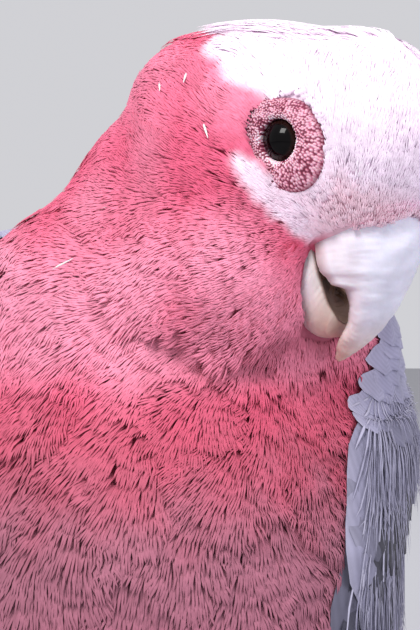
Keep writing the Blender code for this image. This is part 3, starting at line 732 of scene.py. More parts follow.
# %% One table for the whole coat
BILL_ROOT = (0.0, -9.0, -9.0)  # in the head's axes: the feathers of the head lie away from here
FROM_BILL = [6, 14, 24, 36, 50, 75, 110, 160]  # distance from there, for the rows below
DEPTHS = [0.4, 0.6, 0.9, 1.3, 1.6, 2.0, 2.4, 2.4]
LENGTHS = [1.9, 2.8, 4.4, 5.4, 6.4, 8.5, 11.0, 13.0]
SPACINGS = [0.58, 0.72, 0.98, 1.10, 1.22, 1.65, 2.4, 2.9]
HALF_WIDTHS = [0.12, 0.15, 0.20, 0.21, 0.22, 0.29, 0.44, 0.48]  # of one lock of barbs
FEATHERS = [2.4, 3.0, 4.2, 6.0, 8.0, 10.5, 12.0, 12.0]  # from one contour feather to the next
FANS = [4, 6, 9, 13, 17, 18, 14, 12]  # degrees that the barbs turn out from a feather's shaft


def from_bill(points):
    """Distance in millimetres from the root of the bill."""
    return np.linalg.norm(points - from_head(BILL_ROOT), axis=-1)


def on_leg(points):
    """How far down the thigh a point is: 0 at the belly and 1 at the ankle."""
    return step(points[:, 2], 58, 34) * step(np.abs(points[:, 1] - 24), 26, 18)


def coat_row(values, points):
    """One of the rows above read at these points, made smaller down the thigh."""
    return np.interp(from_bill(points), FROM_BILL, values) * (1 - 0.55 * on_leg(points))


def coat_depth(points):
    """How deep the skin lies under the coat's surface."""
    return coat_row(DEPTHS, points) * (1 - 0.6 * np.maximum(cap_share(points), pale_cheek(points)))


# %% [markdown]
# ## One skin
# Under its feathers the bird is one skin from bill to tail and down to the ankles. Solids that cross would
# show seams, so body and thighs are fused by a voxel remesh, and each point is then drawn along its normal to
# the skin's depth under the coat.

# %% Rough forms of the body and the thighs
UNDER_COAT = 1.5  # mm that the rough body lies under the coat
POLE = 0.02  # radians that a ball's first ring lies from its pole


def skin_form(sides=72, stations=110):
    """Rings round the inner line where the rays meet the skin, closed by the crown's and tail's poles."""
    t = np.concatenate([DOME * np.linspace(0.03, 1, 16, endpoint=False), np.linspace(DOME, 0.985, stations)])
    t_grid, angle_grid = np.meshgrid(t, np.linspace(0, 360, sides, endpoint=False), indexing="ij")
    origins, directions = rays(t_grid.ravel(), angle_grid.ravel())
    return closed_rings(reach(origins, directions, -UNDER_COAT, COAT).reshape(len(t), sides, 3))


def unit_ball(v, u):
    """Points of a ball of radius 1 at angles v from its pole and u round it."""
    return np.stack([np.sin(v) * np.cos(u), np.sin(v) * np.sin(u), np.cos(v)], axis=-1)


def lobe_form(lobe, rings=18, sides=24):
    """One lobe as a closed ball, a millimetre smaller than the coat."""
    centre, own, radii = lobe
    down, turn = np.linspace(POLE, math.pi - POLE, rings), full_turn(sides)
    ball, (wall, top, bottom) = closed_rings(unit_ball(*np.meshgrid(down, turn, indexing="ij")))
    ball[-2:] = [0, 0, 1], [0, 0, -1]
    faces = [wall[:, ::-1], top[:, [0, 2, 1]], bottom[:, [0, 2, 1]]]
    return (ball * (radii - 1.0)) @ own.T + centre, faces


def merged(forms):
    """Several meshes as one list of points and faces."""
    points, faces, count = [], [], 0
    for found, sets in forms:
        points.append(found)
        faces += [f + count for f in sets]
        count += len(found)
    return np.vstack(points), faces


# %% Fuse them, and draw the skin to its depth
VOXEL = 1.3  # mm; fine enough for the folds between thigh and belly
RIM_EASE, RING_GAP = 1.2, 0.35  # mm over which the skin comes up past the ring, and that it lies under it


def apply_modifiers(piece):
    """Puts what the modifiers make of a piece into its mesh."""
    graph = bpy.context.evaluated_depsgraph_get()
    made = bpy.data.meshes.new_from_object(piece.evaluated_get(graph))
    piece.modifiers.clear()
    piece.data = made


def mesh_points(piece):
    """The points of a piece, back in the bird's millimetres."""
    points = np.empty(len(piece.data.vertices) * 3, np.float32)
    piece.data.vertices.foreach_get("co", points)
    return points.reshape(-1, 3).astype(float) / MM - PLACE


def sunk_under_rings(points):
    """Presses the skin down in the eye's own axes until it lies under the bare ring, whose height is its
    rim's lift times the square of the share of the way out."""
    points = points.copy()
    for side in (1, -1):
        centre, own = eye_frame(side)
        local, angle, out = in_eye(points, side)
        rim = around(RING_RADII, angle)
        share = np.clip((out * RING_OUTER / rim - EYE_RADIUS) / (RING_OUTER - EYE_RADIUS), 0, 1)
        floor = around(RING_LIFTS, angle) * share**2 - RING_THICK / 2 - RING_GAP
        ease = step(out - rim, RIM_EASE, 0.0) * (np.abs(local[:, 2]) < NEAR_EYE)
        local[:, 2] -= np.clip(local[:, 2] - floor, 0, None) * ease
        points = local @ own.T + centre
    return points


thighs = placed(THIGH_LOBES + mirrored(THIGH_LOBES))
skin = new_piece("skin", *merged([skin_form(), *map(lobe_form, thighs)]), BODY_SKIN)
remesh = skin.modifiers.new("fuse", "REMESH")
remesh.mode, remesh.voxel_size = "VOXEL", VOXEL * MM
apply_modifiers(skin)
spots = mesh_points(skin)
for _ in range(4):  # each step goes nine tenths of the way that is left
    spots = spots - outward(spots) * (level(spots, FLESH) + coat_depth(spots))[:, None] * 0.9
spots = sunk_under_rings(spots)
skin.data.vertices.foreach_set("co", ((spots + PLACE) * MM).astype(np.float32).ravel())
skin.data.update()
shade = skin.data.color_attributes.new("Tint", "FLOAT_COLOR", "POINT")
# Painted shade: the skin is the plumage's colour darkened, as the shade seen through gaps between the
# feathers.
skin_shade_tint = np.column_stack([deepened(plumage(spots), 0.05 + 0.5 * contrast_at(spots)), np.ones(len(spots))])
shade.data.foreach_set("color", skin_shade_tint.astype(np.float32).ravel())
skin.data.materials.clear()
skin.data.materials.append(BODY_SKIN)
skin.data.polygons.foreach_set("use_smooth", np.ones(len(skin.data.polygons), bool))
print("skin:", len(skin.data.polygons), "faces")

# %% [markdown]
# ## The bill
# The upper bill is a strong hooked arch and the lower one a short scoop. Each is a row of cross-sections from
# root to tip along two curves, the ridge and the cutting edge, far finer than the CAD solid.

# %% The curves of the bill: places forward and up in the head's axes
CULMEN = [(11.0, 1.0), (18.0, -1.6), (21.5, -7.5), (22.5, -15.0), (21.8, -22.4), (19.9, -28.4), (17.7, -32.2)]
TOMIUM = [(2.0, -9.0), (8.6, -13.2), (11.8, -16.3), (14.8, -18.3)]
TOMIUM += [(16.6, -20.6), (17.5, -24.0), (17.2, -28.0), (16.7, -31.8)]
UPPER_HALF_WIDTH = [7.6, 8.9, 8.5, 7.0, 5.2, 3.4, 0.9]
GONYS = [(0.5, -20.0), (4.5, -26.6), (8.8, -29.8), (12.6, -30.4), (15.0, -28.8)]
RIM = [(2.0, -11.5), (8.6, -14.8), (12.0, -18.4), (14.4, -21.6), (15.9, -23.8)]
LOWER_HALF_WIDTH = [7.0, 8.3, 8.8, 7.8, 5.0]


def smooth_row(values, t):
    """One number per evenly spaced station, read along a smooth curve through them."""
    stations = np.column_stack([np.linspace(0, 1, len(values)), values])
    fine = through(stations, np.linspace(0, 1, 200))
    return np.interp(t, fine[:, 0], fine[:, 1])


EDGE_INSET = 0.86  # the inner face's width as a share of the outer one's


def bill_half(ridge, edge, half_widths, power, scoop, flare=None, rings=120, sides=64):
    """Sections in the head's axes: place = edge + (ridge - edge) * rise, lateral = half width * sin(a), with
    rise = cos(a)^power over the arch and scoop * cos(a)^1.5 back across the edges."""
    t = np.linspace(0, 1, rings)
    top, bottom = through(ridge, t), through(edge, t)
    arch = np.radians(np.linspace(-90, 90, sides // 2 + 1))
    back = np.radians(np.linspace(90, -90, sides // 2 + 1))[1:-1]
    rise = np.concatenate([np.cos(arch).clip(0) ** power, scoop * np.cos(back).clip(0) ** 1.5])
    across = np.concatenate([np.sin(arch), EDGE_INSET * np.sin(back)])
    place = bottom[:, None] + (top - bottom)[:, None] * rise[:, None]
    lateral = smooth_row(half_widths, t)[:, None] * across
    if flare:
        near_edge = np.clip(1 - rise, 0, 1) ** 3 * (np.abs(across) > 0.05)
        lateral = lateral + np.sign(across) * flare(t)[:, None] * near_edge
    return np.stack([lateral, -place[..., 0], place[..., 1]], axis=-1), t, rise


def cheek_lobe(t):
    """How far the upper bill's cutting edge stands out of its side, in mm: a lobe that ends in a notch."""
    lobe = 1.2 * step(t, 0.20, 0.45) * step(t, 0.56, 0.52)
    return lobe - 1.7 * step(t, 0.52, 0.56) * step(t, 0.92, 0.70)


# %% [markdown]
# ## Horn over the bill's form
# A galah's bill is bone white, with a blue cast on its arch, yellowish edges and a horn-brown tip. Its
# flaking could be a bump in the material, but flakes show in the outline, so the points are moved.

# %% Upper and lower bill
HORN, HORN_TIP, HORN_EDGE, HORN_BLUE = srgb("EAE2EC"), srgb("DCBDB0"), srgb("D6C6BC"), srgb("DFE0F2")
FLAKE_HEIGHT, FLAKE_STEPS = 0.16, 2.2  # mm, and terraces per unit of the wave


def flakes(points, amount):
    """Low terraces in the horn: a slow wave rounded down to steps, each sloping a little towards its edge."""
    height = wander(points * [1.0, 1.0, 0.55], 11, 31) + 0.35 * wander(points, 3.2, 32)
    return amount * (np.floor(height * FLAKE_STEPS) / FLAKE_STEPS - 0.35 * np.mod(height * FLAKE_STEPS, 1.0))


def bill_piece(name, shape, tip_at):
    """Closes the sections, moves each point out by its flake, and tints it by its height on the arch, its
    share of the way to the tip, and whether it faces the mouth."""
    rings, t, rise = shape
    sides = rings.shape[1]
    points, faces = closed_rings(rings)
    middle = rings.mean(1)
    away = unit(rings - middle[:, None]).reshape(-1, 3)
    worn = flakes(rings.reshape(-1, 3), FLAKE_HEIGHT)
    points[: len(away)] += away * worn[:, None]
    share = np.concatenate([np.repeat(t, sides), [0, 1]])
    height = np.concatenate([np.tile(rise, len(t)), [0, 0]])
    tint = blend(HORN, HORN_BLUE, step(height, 0.3, 0.9) * 0.8)
    tint = blend(tint, HORN_TIP, step(share, tip_at, 1.0))
    tint = blend(tint, HORN_EDGE, step(height, 0.16, 0.0) * 0.55)
    lining = np.tile(np.arange(sides) > sides // 2 + 2, len(t)).astype(float)  # the face towards the mouth
    tint = blend(tint, MOUTH, 0.75 * np.concatenate([lining, [0, 0]]))
    tint *= (1 + 0.06 * wander(points, 5, 33))[:, None]
    return new_piece(name, from_head(points), faces, BILL_HORN, tint)


upper_half = bill_half(CULMEN, TOMIUM, UPPER_HALF_WIDTH, power=0.72, scoop=0.12, flare=cheek_lobe)
lower_half = bill_half(GONYS, RIM, LOWER_HALF_WIDTH, power=0.6, scoop=0.38)
upper = bill_piece("bill_upper_horn", upper_half, tip_at=0.62)
lower = bill_piece("bill_lower_horn", lower_half, tip_at=0.55)
for piece, node in ((upper, "bill_upper"), (lower, "bill_lower")):
    finish_piece(faces_out(piece), "bill", node)

# %% [markdown]
# ## The tongue
# A parrot's tongue is thick, blunt and dry, and shows between the halves of the bill. It needs no more than a
# tube along a curve, flatter than it is wide.

# %% Tongue
TONGUE = [(2.0, -13.0), (6.0, -15.6), (10.0, -18.2), (13.0, -19.8), (15.2, -20.8)]
TONGUE_HALF_WIDTH, TONGUE_FLATNESS = 3.2, 0.62


def tongue(rings=24, sides=20):
    """A tube through those points: half-width * sqrt(1 - t^4) gives the blunt tip."""
    t = np.linspace(0, 1, rings)
    centre = through(TONGUE, t)
    size = TONGUE_HALF_WIDTH * np.sqrt(np.clip(1 - t**4, 0.02, 1))
    turn = full_turn(sides)
    lateral = size[:, None] * np.cos(turn)
    height = TONGUE_FLATNESS * size[:, None] * np.sin(turn)
    back = np.repeat(-centre[:, :1], sides, 1)
    points, faces = closed_rings(np.stack([lateral, back, centre[:, 1:] + height], axis=-1))
    tint = srgb("C2A08B") * (1 + 0.2 * wander(points, 2, 35))[:, None]
    return new_piece("tongue", from_head(points), faces, MOUTH_SKIN, tint)


finish_piece(faces_out(tongue()), "bill")

# %% [markdown]
# ## Eyes and the bare rings round them
# A galah's eye sits in a ring of bare skin covered in small fleshy grains, pale where they are dry and maroon
# between. The ring is a profile turned about the eye's axis and drawn out into an egg. Its grains are true
# relief: a cap of height over each of several hundred seeded places.

# %% The lid's edge, and grains over the skin
LID_GAP = 0.12  # between it and the eyeball
LID_EDGE = -0.3  # height of its rim over the ring's plane


def lid_radius(height):
    """Radius just outside the eyeball at a height over the ring's plane."""
    under = EYE_RADIUS - EYE_PROUD + height
    return np.sqrt(np.clip((EYE_RADIUS + LID_GAP) ** 2 - under**2, 0, None))


def grain_caps(places, seeds, size):
    """Height of rounded grains: 1 - (distance to the nearest seed / size)^2, never below 0."""
    nearest = np.full(len(places), 1e9)
    for start in range(0, len(places), 4000):
        part = places[start : start + 4000, None] - seeds
        nearest[start : start + 4000] = (part**2).sum(-1).min(1)
    return np.clip(1 - nearest / size**2, 0, 1)


def tree_of(places):
    """A search tree of places, for the nearest one to any point."""
    tree = KDTree(len(places))
    for i, place in enumerate(places):
        tree.insert(place, i)
    tree.balance()
    return tree


def spread_out(places, spacing):
    """Indices of places kept in order so that none stands nearer to a kept one than the spacing."""
    places = np.column_stack([places, np.zeros((len(places), 3 - places.shape[1]))])
    spacing = np.broadcast_to(spacing, len(places))
    tree = tree_of(places)
    gone, kept = np.zeros(len(places), bool), []
    for i in range(len(places)):
        if gone[i]:
            continue
        kept.append(i)
        for _place, j, _far in tree.find_range(places[i], spacing[i]):
            gone[j] = True
    return np.array(kept)


# %% The ring of bare skin
GRAIN_PALE, GRAIN_ROSE, GRAIN_DARK = srgb("FFE6F2"), srgb("D27C98"), srgb("7A2A44")
GRAIN_TRIES, GRAIN_SPACING, GRAIN_SIZE = 4200, 0.31, 0.24  # chances, then millimetres apart and in radius
GRAIN_HEIGHT, GRAIN_SUNK, FOLD_HEIGHT = 0.24, 0.05, 0.10
GRAINS_FROM = 3.1  # mm from the eye's middle, on the lid's edge


def eye_ring(word, side, steps=400, across=84):
    """The profile, from the lid over the dome and down under its rim, turned about the eye's axis; grains and
    folds raise its upper face, and oval() draws it out."""
    rng = np.random.default_rng(40 + side)
    half = RING_THICK / 2
    profile = [
        (lid_radius(-half), -half),
        (lid_radius(LID_EDGE), LID_EDGE),
        (lid_radius(LID_EDGE) + 0.10, 0.30 * half),
        (4.0, 0.85 * half),
        (5.2, half),
        (RING_OUTER - 0.7, 0.55 * half),
        (RING_OUTER, -0.1 * half),
        (RING_OUTER - 0.1, -1.1 * half),
    ]
    section = through(profile, np.linspace(0, 1, across))
    turn = full_turn(steps)
    x, y = section[:, :1] * np.cos(turn), section[:, :1] * np.sin(turn)
    flat = np.stack([x, y, np.repeat(section[:, 1:], steps, 1)], axis=-1).reshape(-1, 3)
    out = np.sqrt(rng.uniform(GRAINS_FROM**2, (RING_OUTER + 0.1) ** 2, GRAIN_TRIES))
    at = rng.uniform(0, 2 * math.pi, GRAIN_TRIES)
    seeds = np.column_stack([out * np.cos(at), out * np.sin(at)])
    seeds = seeds[spread_out(seeds, GRAIN_SPACING)]
    caps = grain_caps(flat[:, :2], seeds, GRAIN_SIZE)
    top_side = step(flat[:, 2], -0.25, 0.15)
    folds = FOLD_HEIGHT * wander(flat * [1, 1, 0], 2.6, 43)
    raised = (GRAIN_HEIGHT * caps - GRAIN_SUNK + folds) * top_side
    points = oval(flat + raised[:, None] * [0, 0, 1], side)
    inner = np.linalg.norm(flat[:, :2], axis=1)
    tone = np.clip(caps * 1.1 + 0.30 * wander(points, 2.2, 42), 0, 1)
    tint = blend(GRAIN_DARK, GRAIN_ROSE, step(tone, 0.05, 0.45))
    tint = blend(tint, GRAIN_PALE, step(tone, 0.40, 0.9) * (0.45 + 0.55 * step(inner, 4.6, 3.6)))
    # Painted shade: the ring's outer rim is darkened, in the crease where it meets the feathers.
    tint = blend(tint, GRAIN_DARK, step(inner, RING_OUTER - 0.45, RING_OUTER) * 0.6)
    centre, own = eye_frame(side)
    faces = grid_faces(across, steps, closed=True)
    if side < 0:
        faces = faces[:, ::-1]
    return new_piece(f"eye_ring_skin_{word}", points @ own.T + centre, faces, RING_SKIN, tint)


# %% [markdown]
# ## The eyeballs
# The eye is a dark ball whose brown iris is hardly lighter than the pupil. A plain ball would give a dull
# highlight, so the cornea swells a little in front and gathers it.

# %% Rings and eyeballs in their places
CORNEA_SWELL, CORNEA_ANGLE = 0.025, 0.55  # share of the radius, and how far it reaches in radians
PUPIL, IRIS = (2.5, 2.8), (3.7, 3.4)  # mm from the eye's axis over which the iris begins and ends


def eyeball(word, side, rings=48, around=64):
    """A ball of radius r * (1 + swell * exp(-(v / angle)^2)) at angles v from the eye's axis."""
    down, turn = np.linspace(0, math.pi, rings + 2)[1:-1], full_turn(around)
    v, u = np.meshgrid(down, turn, indexing="ij")
    swell = 1 + CORNEA_SWELL * np.exp(-((v / CORNEA_ANGLE) ** 2))
    points, faces = closed_rings(unit_ball(v, u) * (EYE_RADIUS * swell)[..., None])
    out = np.linalg.norm(points[:, :2], axis=1)
    iris = step(out, *PUPIL) * step(out, *IRIS)
    tint = blend(srgb("030102"), srgb("200E0B"), iris * (points[:, 2] > 0))
    _centre, own = eye_frame(side)
    piece = new_piece(f"eyeball_{word}", points @ own.T + eyeball_centre(side), faces, EYE_WET, tint)
    return faces_out(piece)


for word, side in SIDES:
    finish_piece(faces_out(eye_ring(word, side)), "bare_ring", f"eye_ring_{word}")
    finish_piece(eyeball(word, side), "eye", f"eye_{word}")

# %% [markdown]
# ## The folded wing as a surface
# A folded wing is a thin curved plate that hugs the body. It is charted in rows from the shoulder to the tail
# and columns from its leading edge. Feathers can then be laid on it by a share along, a share across and a
# height in its thickness.

# %% The wing as a surface
WING_ROWS = [0.175, 0.22, 0.31, 0.44, 0.59, 0.76, 0.92, 1.07, 1.22]
WING_LEADING = [96, 70, 57, 39, 44, 62, 88, 112, 134]
WING_TRAILING = [108, 130, 150, 164, 170, 170, 170, 168, 150]
WING_THICK = [1.2, 3.0, 4.6, 5.2, 5.2, 4.8, 3.8, 2.6, 1.2]
EDGE_THICK, WING_CLEARANCE = 0.9, 1.3  # mm at its edges, and between it and the body
RIGHT_WING_BACK, RIGHT_WING_LOWER = 22.0, 0.09  # degrees and share by which the right one is drawn back
WING_STEPS = (90, 40)


def wing_surfaces(side):
    """Grids of the wing's inner and outer faces: each point is where a ray comes to its height."""
    share, across = np.meshgrid(*(np.linspace(0, 1, steps) for steps in WING_STEPS), indexing="ij")
    t, leading, trailing = (row(v, share) for v in (WING_ROWS, WING_LEADING, WING_TRAILING))
    if side < 0:
        t = t + RIGHT_WING_LOWER * (1 - share) ** 3
        further = RIGHT_WING_BACK * (1 - share) ** 3
        leading, trailing = leading + further, trailing + 0.7 * further
    origins, directions = rays(t, side * (leading + (trailing - leading) * across))
    thick = EDGE_THICK + row(WING_THICK, share) * np.clip(4 * across * (1 - across), 0, 1) ** 0.4
    inner = reach(origins, directions, WING_CLEARANCE, WING_BED)
    return inner, reach(origins, directions, WING_CLEARANCE + thick, WING_BED)


WINGS = {side: wing_surfaces(side) for _word, side in SIDES}


def on_wing(side, share, across, height):
    """Points at shares along and across a wing, at height 0 on its inner face and 1 on its outer one, read
    linearly between the grid's points and straight on past its edges."""
    x = np.asarray(share) * (WING_STEPS[0] - 1)
    y = np.asarray(across) * (WING_STEPS[1] - 1)
    i = np.clip(np.floor(x).astype(int), 0, WING_STEPS[0] - 2)
    j = np.clip(np.floor(y).astype(int), 0, WING_STEPS[1] - 2)
    a, b = np.clip(x - i, -3, 4)[..., None], np.clip(y - j, -3, 4)[..., None]

    def read(grid):
        """The grid's four nearest points, mixed by the shares between them."""
        first = grid[i, j] * (1 - b) + grid[i, j + 1] * b
        second = grid[i + 1, j] * (1 - b) + grid[i + 1, j + 1] * b
        return first * (1 - a) + second * a

    inner, outer = (read(grid) for grid in WINGS[side])
    return inner + (outer - inner) * np.asarray(height)[..., None]


print("wing length", round(float(np.linalg.norm(np.diff(WINGS[1][1][:, 20], axis=0), axis=1).sum()), 1), "mm")

# %% [markdown]
# ## What keeps feathers out
# No feather grows on the bill, in the bare ring or deep under a folded wing. Leaving those roots out also
# saves the mesh for the places that can be seen.

# %% Under the wings
HIDDEN_UNDER_WING = 9.0  # mm inside the wing's edges from which nothing of the coat shows
WING_REACH = 7.5  # mm from the wing's inner face within which a root counts as under it


def under_wings(points):
    """True where a point lies near the part of a wing that is further in than its edges."""
    hidden = np.zeros(len(points), bool)
    for side in (1, -1):
        grid = WINGS[side][0]
        rim = np.vstack([grid[0], grid[-1], grid[:, 0], grid[:, -1]])
        rim_tree = tree_of(rim)
        flat = grid[::2, ::2].reshape(-1, 3)
        deep = flat[[rim_tree.find(p)[2] > HIDDEN_UNDER_WING for p in flat]]
        deep_tree = tree_of(deep)
        near = np.where(points[:, 0] * side > -25)[0]  # the wing's own side of the bird, and a little past
        hidden[near] |= np.array([deep_tree.find(points[i])[2] < WING_REACH for i in near])
    return hidden


def solid_tree(pieces):
    """A search tree of the faces of some pieces, in the bird's millimetres."""
    forms = [(mesh_points(p), [np.array([f.vertices[:]]) for f in p.data.polygons]) for p in pieces]
    points, faces = merged(forms)
    return BVHTree.FromPolygons(points.tolist(), [f[0].tolist() for f in faces])


# %% Where the plumage ends on the bill
# Up and forward in the head's axes, from the chin over the bill's corner to the forehead.
BILL_LINE = [(-28.2, 11.0), (-26.0, 10.6), (-23.8, 10.1), (-21.3, 9.5), (-18.8, 9.0), (-16.5, 8.9)]
BILL_LINE += [(-13.7, 9.4), (-10.9, 10.6), (-9.5, 12.3), (-8.7, 13.6), (-8.0, 15.0), (-6.5, 16.4)]
BILL_LINE += [(-4.2, 18.4), (-2.7, 19.2), (-2.1, 19.5)]
BILL_SIZE = 30.0  # mm from its root within which the bill can be met


def bill_line(up):
    """How far forward the plumage comes at each height of the head, straight between the points above."""
    return np.interp(up, *np.array(BILL_LINE).T)


def out_of_bill(points):
    """Signed distance of the points from the horn of the bill, negative inside; large where it is far."""
    bill_tree = solid_tree([upper, lower])
    found = np.full(len(points), FAR)
    for i in np.where(from_bill(points) < BILL_SIZE)[0]:
        place, normal, _face, far = bill_tree.find_nearest(points[i])
        found[i] = math.copysign(far, (Vector(points[i]) - place).dot(normal))
    return found


def bare_bill(points, off_bill):
    """True on the horn in front of the ragged line where the plumage ends, in the mouth, and deep in horn."""
    x, y, z = in_head(points).T
    forward = -y + 0.35 * wander(points, 2.5, 45)
    in_front = (forward > bill_line(z)) & (z < -1.8)
    mouth = in_front & (np.abs(x) < 7.5) & (z < -10) & (z > -28) & (forward < 19)
    return mouth | (off_bill < 0.8) & (in_front | (off_bill < -3.5))


print("the plumage ends", float(bill_line(-16.5)), "mm forward at the bill's corner")

# %% [markdown]
# ## Feathers as barbs
# The barbs of a contour feather cling together in narrow locks, and the eye sees their smooth backs with dark
# slits between. So the unit here is a tuft: a hand of flat, pointed locks with a raised back and steep sides
# painted dark as the shade of those slits. All tufts of a piece are one array of numbers.

# %% The template of a tuft
LOCK_STATIONS = [0.0, 0.22, 0.58, 0.85]  # shares of a lock's length, before its tip
LOCK_WIDTHS = [0.60, 1.0, 0.92, 0.56]  # there, as shares of its half-width
# The two outer columns of a lock are painted dark as the shade in the slits between locks.
LOCK_COLUMNS = [-1.0, -0.70, 0.70, 1.0]  # across it: two dark sides and a flat back
LOCK_POINTS = len(LOCK_STATIONS) * len(LOCK_COLUMNS) + 1
LOOSE_LIFT = 0.12  # mm that a lock's tip may stand off its neighbours'


def tuft_template(size, wide, locks, rng, keel, fan=10.0, crowd=0.92):
    """Arrays (tufts, points) in millimetres along and across each tuft, its relief, and its painted shade.

    size, wide and keel are the tufts' length and their locks' half-width and height; crowd is the locks'
    distance as a share of their width. Lock k starts a little to one side of the root, leans out by its
    share of the fan, bends a little, and runs to a point."""
    count = len(size)
    k = np.arange(locks) - (locks - 1) / 2
    aside = k / max((locks - 1) / 2, 1)
    start = rng.uniform(0, 0.18, (count, locks)) * size[:, None]
    long = size[:, None] * (1 - 0.20 * aside**2) * rng.uniform(0.74, 1.0, (count, locks))
    lean = np.radians(aside * fan / 2 + rng.normal(0, 2.0, (count, locks)))
    bend = rng.normal(0, 0.05, (count, 1)) + rng.normal(0, 0.015, (count, locks))
    half = wide[:, None] * rng.uniform(0.75, 1.15, (count, locks))
    last = [len(LOCK_COLUMNS)] * len(LOCK_STATIONS) + [1]
    station = np.repeat([*LOCK_STATIONS, 1.0], last)
    width = np.repeat([*LOCK_WIDTHS, 0.0], last)
    column = np.array(LOCK_COLUMNS * len(LOCK_STATIONS) + [0.0])
    run = long[..., None] * station
    along = start[..., None] + run * np.cos(lean)[..., None]
    middle = (k * (wide * 2 * crowd)[:, None])[..., None] * (0.70 + 0.30 * station)
    across = middle + run * np.sin(lean)[..., None] + bend[..., None] * run * station
    across = across + half[..., None] * width * column
    raised = (np.abs(column) < 0.9) & (station < 1)
    relief = raised * np.interp(station, [0, 0.3, 0.7, 1], [0.5, 1.0, 0.8, 0.0]) * keel[:, None, None]
    relief = relief + rng.uniform(0, LOOSE_LIFT, (count, locks))[..., None] * station
    # Painted shade: dark on the locks' sides as in the slits between them, darker at the root under the tufts
    # in front, and a little at the tip.
    dark = np.where(np.abs(column) < 0.9, 0.0, 1.0)
    dark = dark + np.interp(station, [0, 0.25, 0.66, 1], [0.28, 0.04, 0.0, 0.08])
    dark = dark + rng.normal(0, 0.06, (count, locks))[..., None]
    shape = (count, locks * LOCK_POINTS)
    return along.reshape(shape), across.reshape(shape), relief.reshape(shape), dark.reshape(shape)


def tuft_faces(count, locks):
    """Triangles of that many tufts: each lock's small grid, and three faces that close it at the tip."""
    grid = grid_faces(len(LOCK_STATIONS), len(LOCK_COLUMNS))[:, ::-1]
    grid = np.vstack([grid[:, [0, 1, 2]], grid[:, [0, 2, 3]]])
    low = (len(LOCK_STATIONS) - 1) * len(LOCK_COLUMNS)
    j = np.arange(len(LOCK_COLUMNS) - 1) + low
    tip = np.stack([j, np.full(len(j), LOCK_POINTS - 1), j + 1], axis=1)
    lock = np.vstack([grid, tip])
    return (lock + (np.arange(count * locks) * LOCK_POINTS)[:, None, None]).reshape(-1, 3)


print("a tuft of 7 locks has", len(tuft_faces(1, 7)), "triangles")

# %% [markdown]
# ## Where the feathers grow
# Roots are scattered over the skin by area, thickest on the face, and thinned until none stands too near
# another, which gives the even but irregular spread of real follicles.

# %% Scatter the roots


def skin_triangles():
    """The corners of the skin's triangles, as an array (triangles, 3, 3)."""
    skin.data.calc_loop_triangles()
    found = np.empty(len(skin.data.loop_triangles) * 3, np.int32)
    skin.data.loop_triangles.foreach_get("vertices", found)
    return spots[found.reshape(-1, 3)]


def crowding(points):
    """Share of the usual spacing: closer at the ring's rim, along the bill, and on the pale parts."""
    gap, _way = rim_gap(points)
    _x, y, z = in_head(points).T
    near_bill = np.abs(bill_line(z) + y) + 9 * (from_bill(points) > 24)
    near = np.maximum(step(gap, 2.5, 1.2), step(near_bill, 3.0, 1.5))
    return 1 - np.maximum(0.42 * near, 0.15 * np.maximum(cap_share(points), pale_cheek(points)))


def scatter_roots(rng, spacings, crowd=4.5):
    """Chance places on the skin, as many per area as the spacing there asks, then thinned out."""
    corners = skin_triangles()
    middle = corners.mean(1)
    edges = corners[:, 1:] - corners[:, :1]
    area = np.linalg.norm(np.cross(edges[:, 0], edges[:, 1]), axis=1) / 2
    wanted = area / (coat_row(spacings, middle) * crowding(middle)) ** 2
    tries = int(crowd * wanted.sum())
    chosen = rng.choice(len(area), tries, p=wanted / wanted.sum())
    a, b = rng.uniform(size=(2, tries, 1))
    a, b = np.where(a + b > 1, 1 - a, a), np.where(a + b > 1, 1 - b, b)
    c = corners[chosen]
    places = c[:, 0] + a * (c[:, 1] - c[:, 0]) + b * (c[:, 2] - c[:, 0])
    return places[spread_out(places, coat_row(spacings, places) * crowding(places))]


def bare_ring(points):
    """True where no tuft is rooted: in the ring, except for a narrow band inside its hind rim."""
    gap, way = rim_gap(points)
    return gap < 0.2 - 1.45 * behind_eye(way)


shafts = scatter_roots(np.random.default_rng(6), FEATHERS)
roots = scatter_roots(np.random.default_rng(7), SPACINGS)
surface = roots + outward(roots) * coat_depth(roots)[:, None]
off_bill = out_of_bill(surface)
keep = ~(bare_bill(surface, off_bill) | bare_ring(surface) | under_wings(roots))
keep &= on_line(roots)[0] < 1.02
roots, off_bill = roots[keep], off_bill[keep]
print("contour feathers:", len(shafts), "tufts:", len(roots))

# %% [markdown]
# ## How they lie
# Feathers lie along a field of directions: away from the bill over the head, then down the body's line, and
# down the legs. A formula keeps it smooth everywhere, and a slow and a quick unevenness ruffle it.

# %% The lie of the coat


def lie_of(points, normals):
    """Unit directions on the coat: "away from the bill" blended into "along the body's line", made square
    to the normal, then turned by the ruffle's angle."""
    away = unit(points - from_head(BILL_ROOT))
    _t, _angle, nearest = on_line(points)
    down = LINE_WAYS[nearest]
    leg = on_leg(points)[:, None]
    down = down * (1 - leg) + np.array([0, -0.15, -1]) * leg
    share = step(from_bill(points), 34, 62)[:, None]
    spread = points[:, :1] / 38 * np.array([0.45, 0, 0]) * share
    field = away * (1 - share) + down * share + spread
    field = unit(field - (field * normals).sum(-1, keepdims=True) * normals)
    ruffle = 0.22 * wander(points, 24, 51) * step(from_bill(points), 8, 45) + 0.07 * wander(points, 7, 52)
    beside = np.cross(normals, field)
    return unit(field * np.cos(ruffle)[:, None] + beside * np.sin(ruffle)[:, None])


normals = outward(roots)
lies = lie_of(roots, normals)

# %% [markdown]
# ## Contour feathers
# One tuft isn't one feather: a contour feather carries hundreds of barbs that turn out from its shaft like a
# hand. So a wider scatter gives the shafts, and from the nearest one a tuft takes the angle of its barbs, a
# touch of tone and its height over the feather in front.

